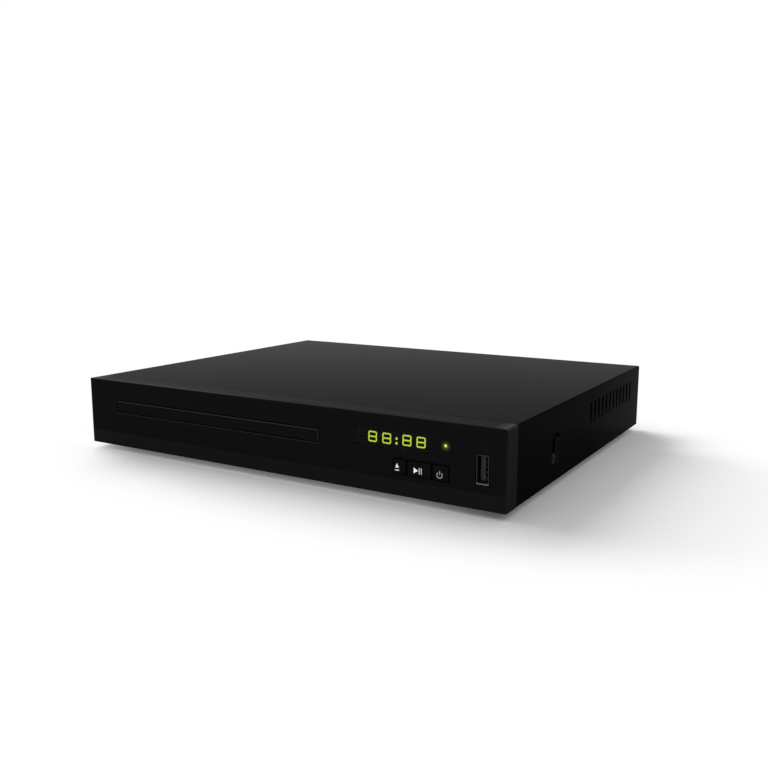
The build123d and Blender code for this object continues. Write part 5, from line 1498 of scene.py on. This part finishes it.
@dataclass
class Studio:
    """A pale floor, a soft lamp from behind the left and the camera of the photograph."""

    eye_mm: Point = (267.22, -439.97, 122.01)
    azimuth: float = 31.028
    elevation: float = 9.839
    roll: float = 0.065
    lens_mm: float = 40.034
    sensor_mm: float = 36.0
    clip_m: Pair = (0.01, 50.0)
    lamp_from: Point = (-0.841, 0.357, 0.407)
    lamp_strength: float = 3.54
    lamp_spread: float = 60.0
    fill: float = 0.535
    floor_reach: float = 6.0
    floor_colour: str = "#d8d8d8"
    floor_lift: float = 0.037
    # front_lift and front_strip paint light on the floor under the front, lifting the player's shadow there.
    front_lift: float = 0.12
    floor_roughness: float = 0.9
    front_strip: Zone = Zone(past=(("Y", -110.0, 1.5),), before=(("Y", -95.0, 15.0), ("X", 105.0, 20.0)))
    shadow_middle: Pair = (0.046, -0.038)
    shadow_reach: Pair = (0.186, 0.103)
    shadow_fade: Pair = (1.0, 1.437)
    foot_middle: Point = (0.03, 0.0, 0.0)
    foot_half: Point = (0.1, 0.107, 0.0)
    foot_fade: Pair = (0.017, 0.076)

    def build(self) -> None:
        """Set up the floor, the light and the camera."""
        self.floor()
        self.lamp()
        self.surround()
        self.camera()
        bpy.context.scene.view_settings.view_transform = "Standard"

    def floor(self) -> None:
        """Lay a pale floor that keeps the player's shadow, lifts it with painted light under the front, and
        fades to white around it.
        """
        mesh = bpy.data.meshes.new("studio_floor")
        reach = self.floor_reach
        corners = [(-reach, -reach, 0.0), (reach, -reach, 0.0), (reach, reach, 0.0), (-reach, reach, 0.0)]
        mesh.from_pydata(corners, [], [(0, 1, 2, 3)])
        floor = link_piece("studio_floor", mesh)
        paper = bpy.data.materials.new("studio_paper_matt")
        paper.use_nodes = True
        nodes = paper.node_tree.nodes
        tree = paper.node_tree
        shader = nodes["Principled BSDF"]
        seen = seen_by_eye(tree)
        colours = {6: linear(self.floor_colour), 7: WHITE}
        tint = add_node(tree, "ShaderNodeMix", {0: seen, **colours}, out=2, data_type="RGBA")
        # The floor glows faintly for the eye everywhere, and more in the strip under the front: painted light
        # that lifts the shadow there.
        levels = {"To Min": self.floor_lift, "To Max": self.floor_lift + self.front_lift}
        under = {"Value": self.front_strip.share(tree), **levels}
        lit = {0: seen, 1: add_node(tree, "ShaderNodeMapRange", under)}
        glow = add_node(tree, "ShaderNodeMath", lit, operation="MULTIPLY")
        fill(shader, {"Base Color": tint, "Emission Color": WHITE, "Emission Strength": glow})
        fill(shader, {"Roughness": self.floor_roughness, "Specular IOR Level": 0.0})
        both = {0: self.past_shadow(tree), 1: self.past_foot(tree)}
        away = add_node(tree, "ShaderNodeMath", both, operation="MINIMUM")
        clear = add_node(tree, "ShaderNodeMath", {0: away, 1: seen}, operation="MULTIPLY")
        white = add_node(tree, "ShaderNodeEmission", {"Color": WHITE, "Strength": 1.0})
        layers = {0: clear, 1: shader.outputs["BSDF"], 2: white}
        fill(nodes["Material Output"], {"Surface": add_node(tree, "ShaderNodeMixShader", layers)})
        floor.data.materials.append(paper)

    def past_shadow(self, tree: bpy.types.NodeTree) -> Socket:
        """Rise from nothing to one beyond the long shadow's oval.

        Args:
            tree: The floor's node tree.

        Returns:
            The share.
        """
        scale = [1.0 / reach for reach in self.shadow_reach]
        shift = [-middle * share for middle, share in zip(self.shadow_middle, scale, strict=True)]
        place = add_node(tree, "ShaderNodeTexCoord", out="Object")
        oval = {"Vector": place, "Location": (*shift, 0.0), "Scale": (*scale, 0.0)}
        return self.faded(tree, add_node(tree, "ShaderNodeMapping", oval), self.shadow_fade)

    def past_foot(self, tree: bpy.types.NodeTree) -> Socket:
        """Rise from nothing to one with the distance from the player's footprint.

        Args:
            tree: The floor's node tree.

        Returns:
            The share.
        """
        outside = add_node(tree, "ShaderNodeTexCoord", out="Object")
        for operation, other in (
            ("SUBTRACT", self.foot_middle),
            ("ABSOLUTE", (0.0, 0.0, 0.0)),
            ("SUBTRACT", self.foot_half),
            ("MAXIMUM", (0.0, 0.0, 0.0)),
        ):
            outside = add_node(tree, "ShaderNodeVectorMath", {0: outside, 1: other}, operation=operation)
        return self.faded(tree, outside, self.foot_fade)

    def faded(self, tree: bpy.types.NodeTree, way: Socket, reach: Pair) -> Socket:
        """Rise from nothing to one with a vector's length.

        Args:
            tree: The floor's node tree.
            way: The vector.
            reach: The lengths at which the rise starts and ends.

        Returns:
            The share.
        """
        away = add_node(tree, "ShaderNodeVectorMath", {0: way}, out="Value", operation="LENGTH")
        near, far = reach
        span = {"Value": away, "From Min": near, "From Max": far}
        return add_node(tree, "ShaderNodeMapRange", span, interpolation_type="SMOOTHSTEP")

    def lamp(self) -> None:
        """Hang one broad soft lamp behind and to the left, at a plain level."""
        data = bpy.data.lights.new("broad_lamp", "SUN")
        data.energy = self.lamp_strength
        data.angle = math.radians(self.lamp_spread)
        lamp = bpy.data.objects.new("broad_lamp", data)
        lamp.rotation_euler = Vector(self.lamp_from).to_track_quat("Z", "Y").to_euler()
        lamp.visible_glossy = False
        bpy.context.scene.collection.objects.link(lamp)

    def surround(self) -> None:
        """Fill with an even white room, seen at full white."""
        world = bpy.data.worlds.new("white_room")
        bpy.context.scene.world = world
        world.use_nodes = True
        tree = world.node_tree
        levels = {"Value": seen_by_eye(tree), "To Min": self.fill, "To Max": 1.0}
        strength = add_node(tree, "ShaderNodeMapRange", levels)
        fill(tree.nodes["Background"], {"Color": WHITE, "Strength": strength})

    def camera(self) -> None:
        """Place the camera where the photograph was taken from."""
        turn, rise, tilt = (math.radians(angle) for angle in (self.azimuth, self.elevation, self.roll))
        back = Vector((math.sin(turn) * math.cos(rise), -math.cos(turn) * math.cos(rise), math.sin(rise)))
        right = Vector(UP).cross(back).normalized()
        up = back.cross(right)
        rolled = right * math.cos(tilt) + up * math.sin(tilt)
        grid = Matrix((rolled, back.cross(rolled), back)).transposed().to_4x4()
        grid.translation = Vector(self.eye_mm) * MM
        data = bpy.data.cameras.new("front_camera")
        data.lens = self.lens_mm
        data.sensor_width = self.sensor_mm
        data.clip_start, data.clip_end = self.clip_m
        camera = bpy.data.objects.new("front_camera", data)
        bpy.context.scene.collection.objects.link(camera)
        camera.matrix_world = grid
        bpy.context.scene.camera = camera


def main() -> None:
    """Load the frame, build the studio and then each sub-assembly in order."""
    logging.basicConfig(level=logging.INFO, format="%(name)s: %(message)s")
    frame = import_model()
    nodes = frame["nodes"]
    Studio().build()
    for group in (Enclosure, FrontControls, DiscLoader, Electronics, RearSockets):
        group(nodes).build()


if __name__ == "__main__":
    main()
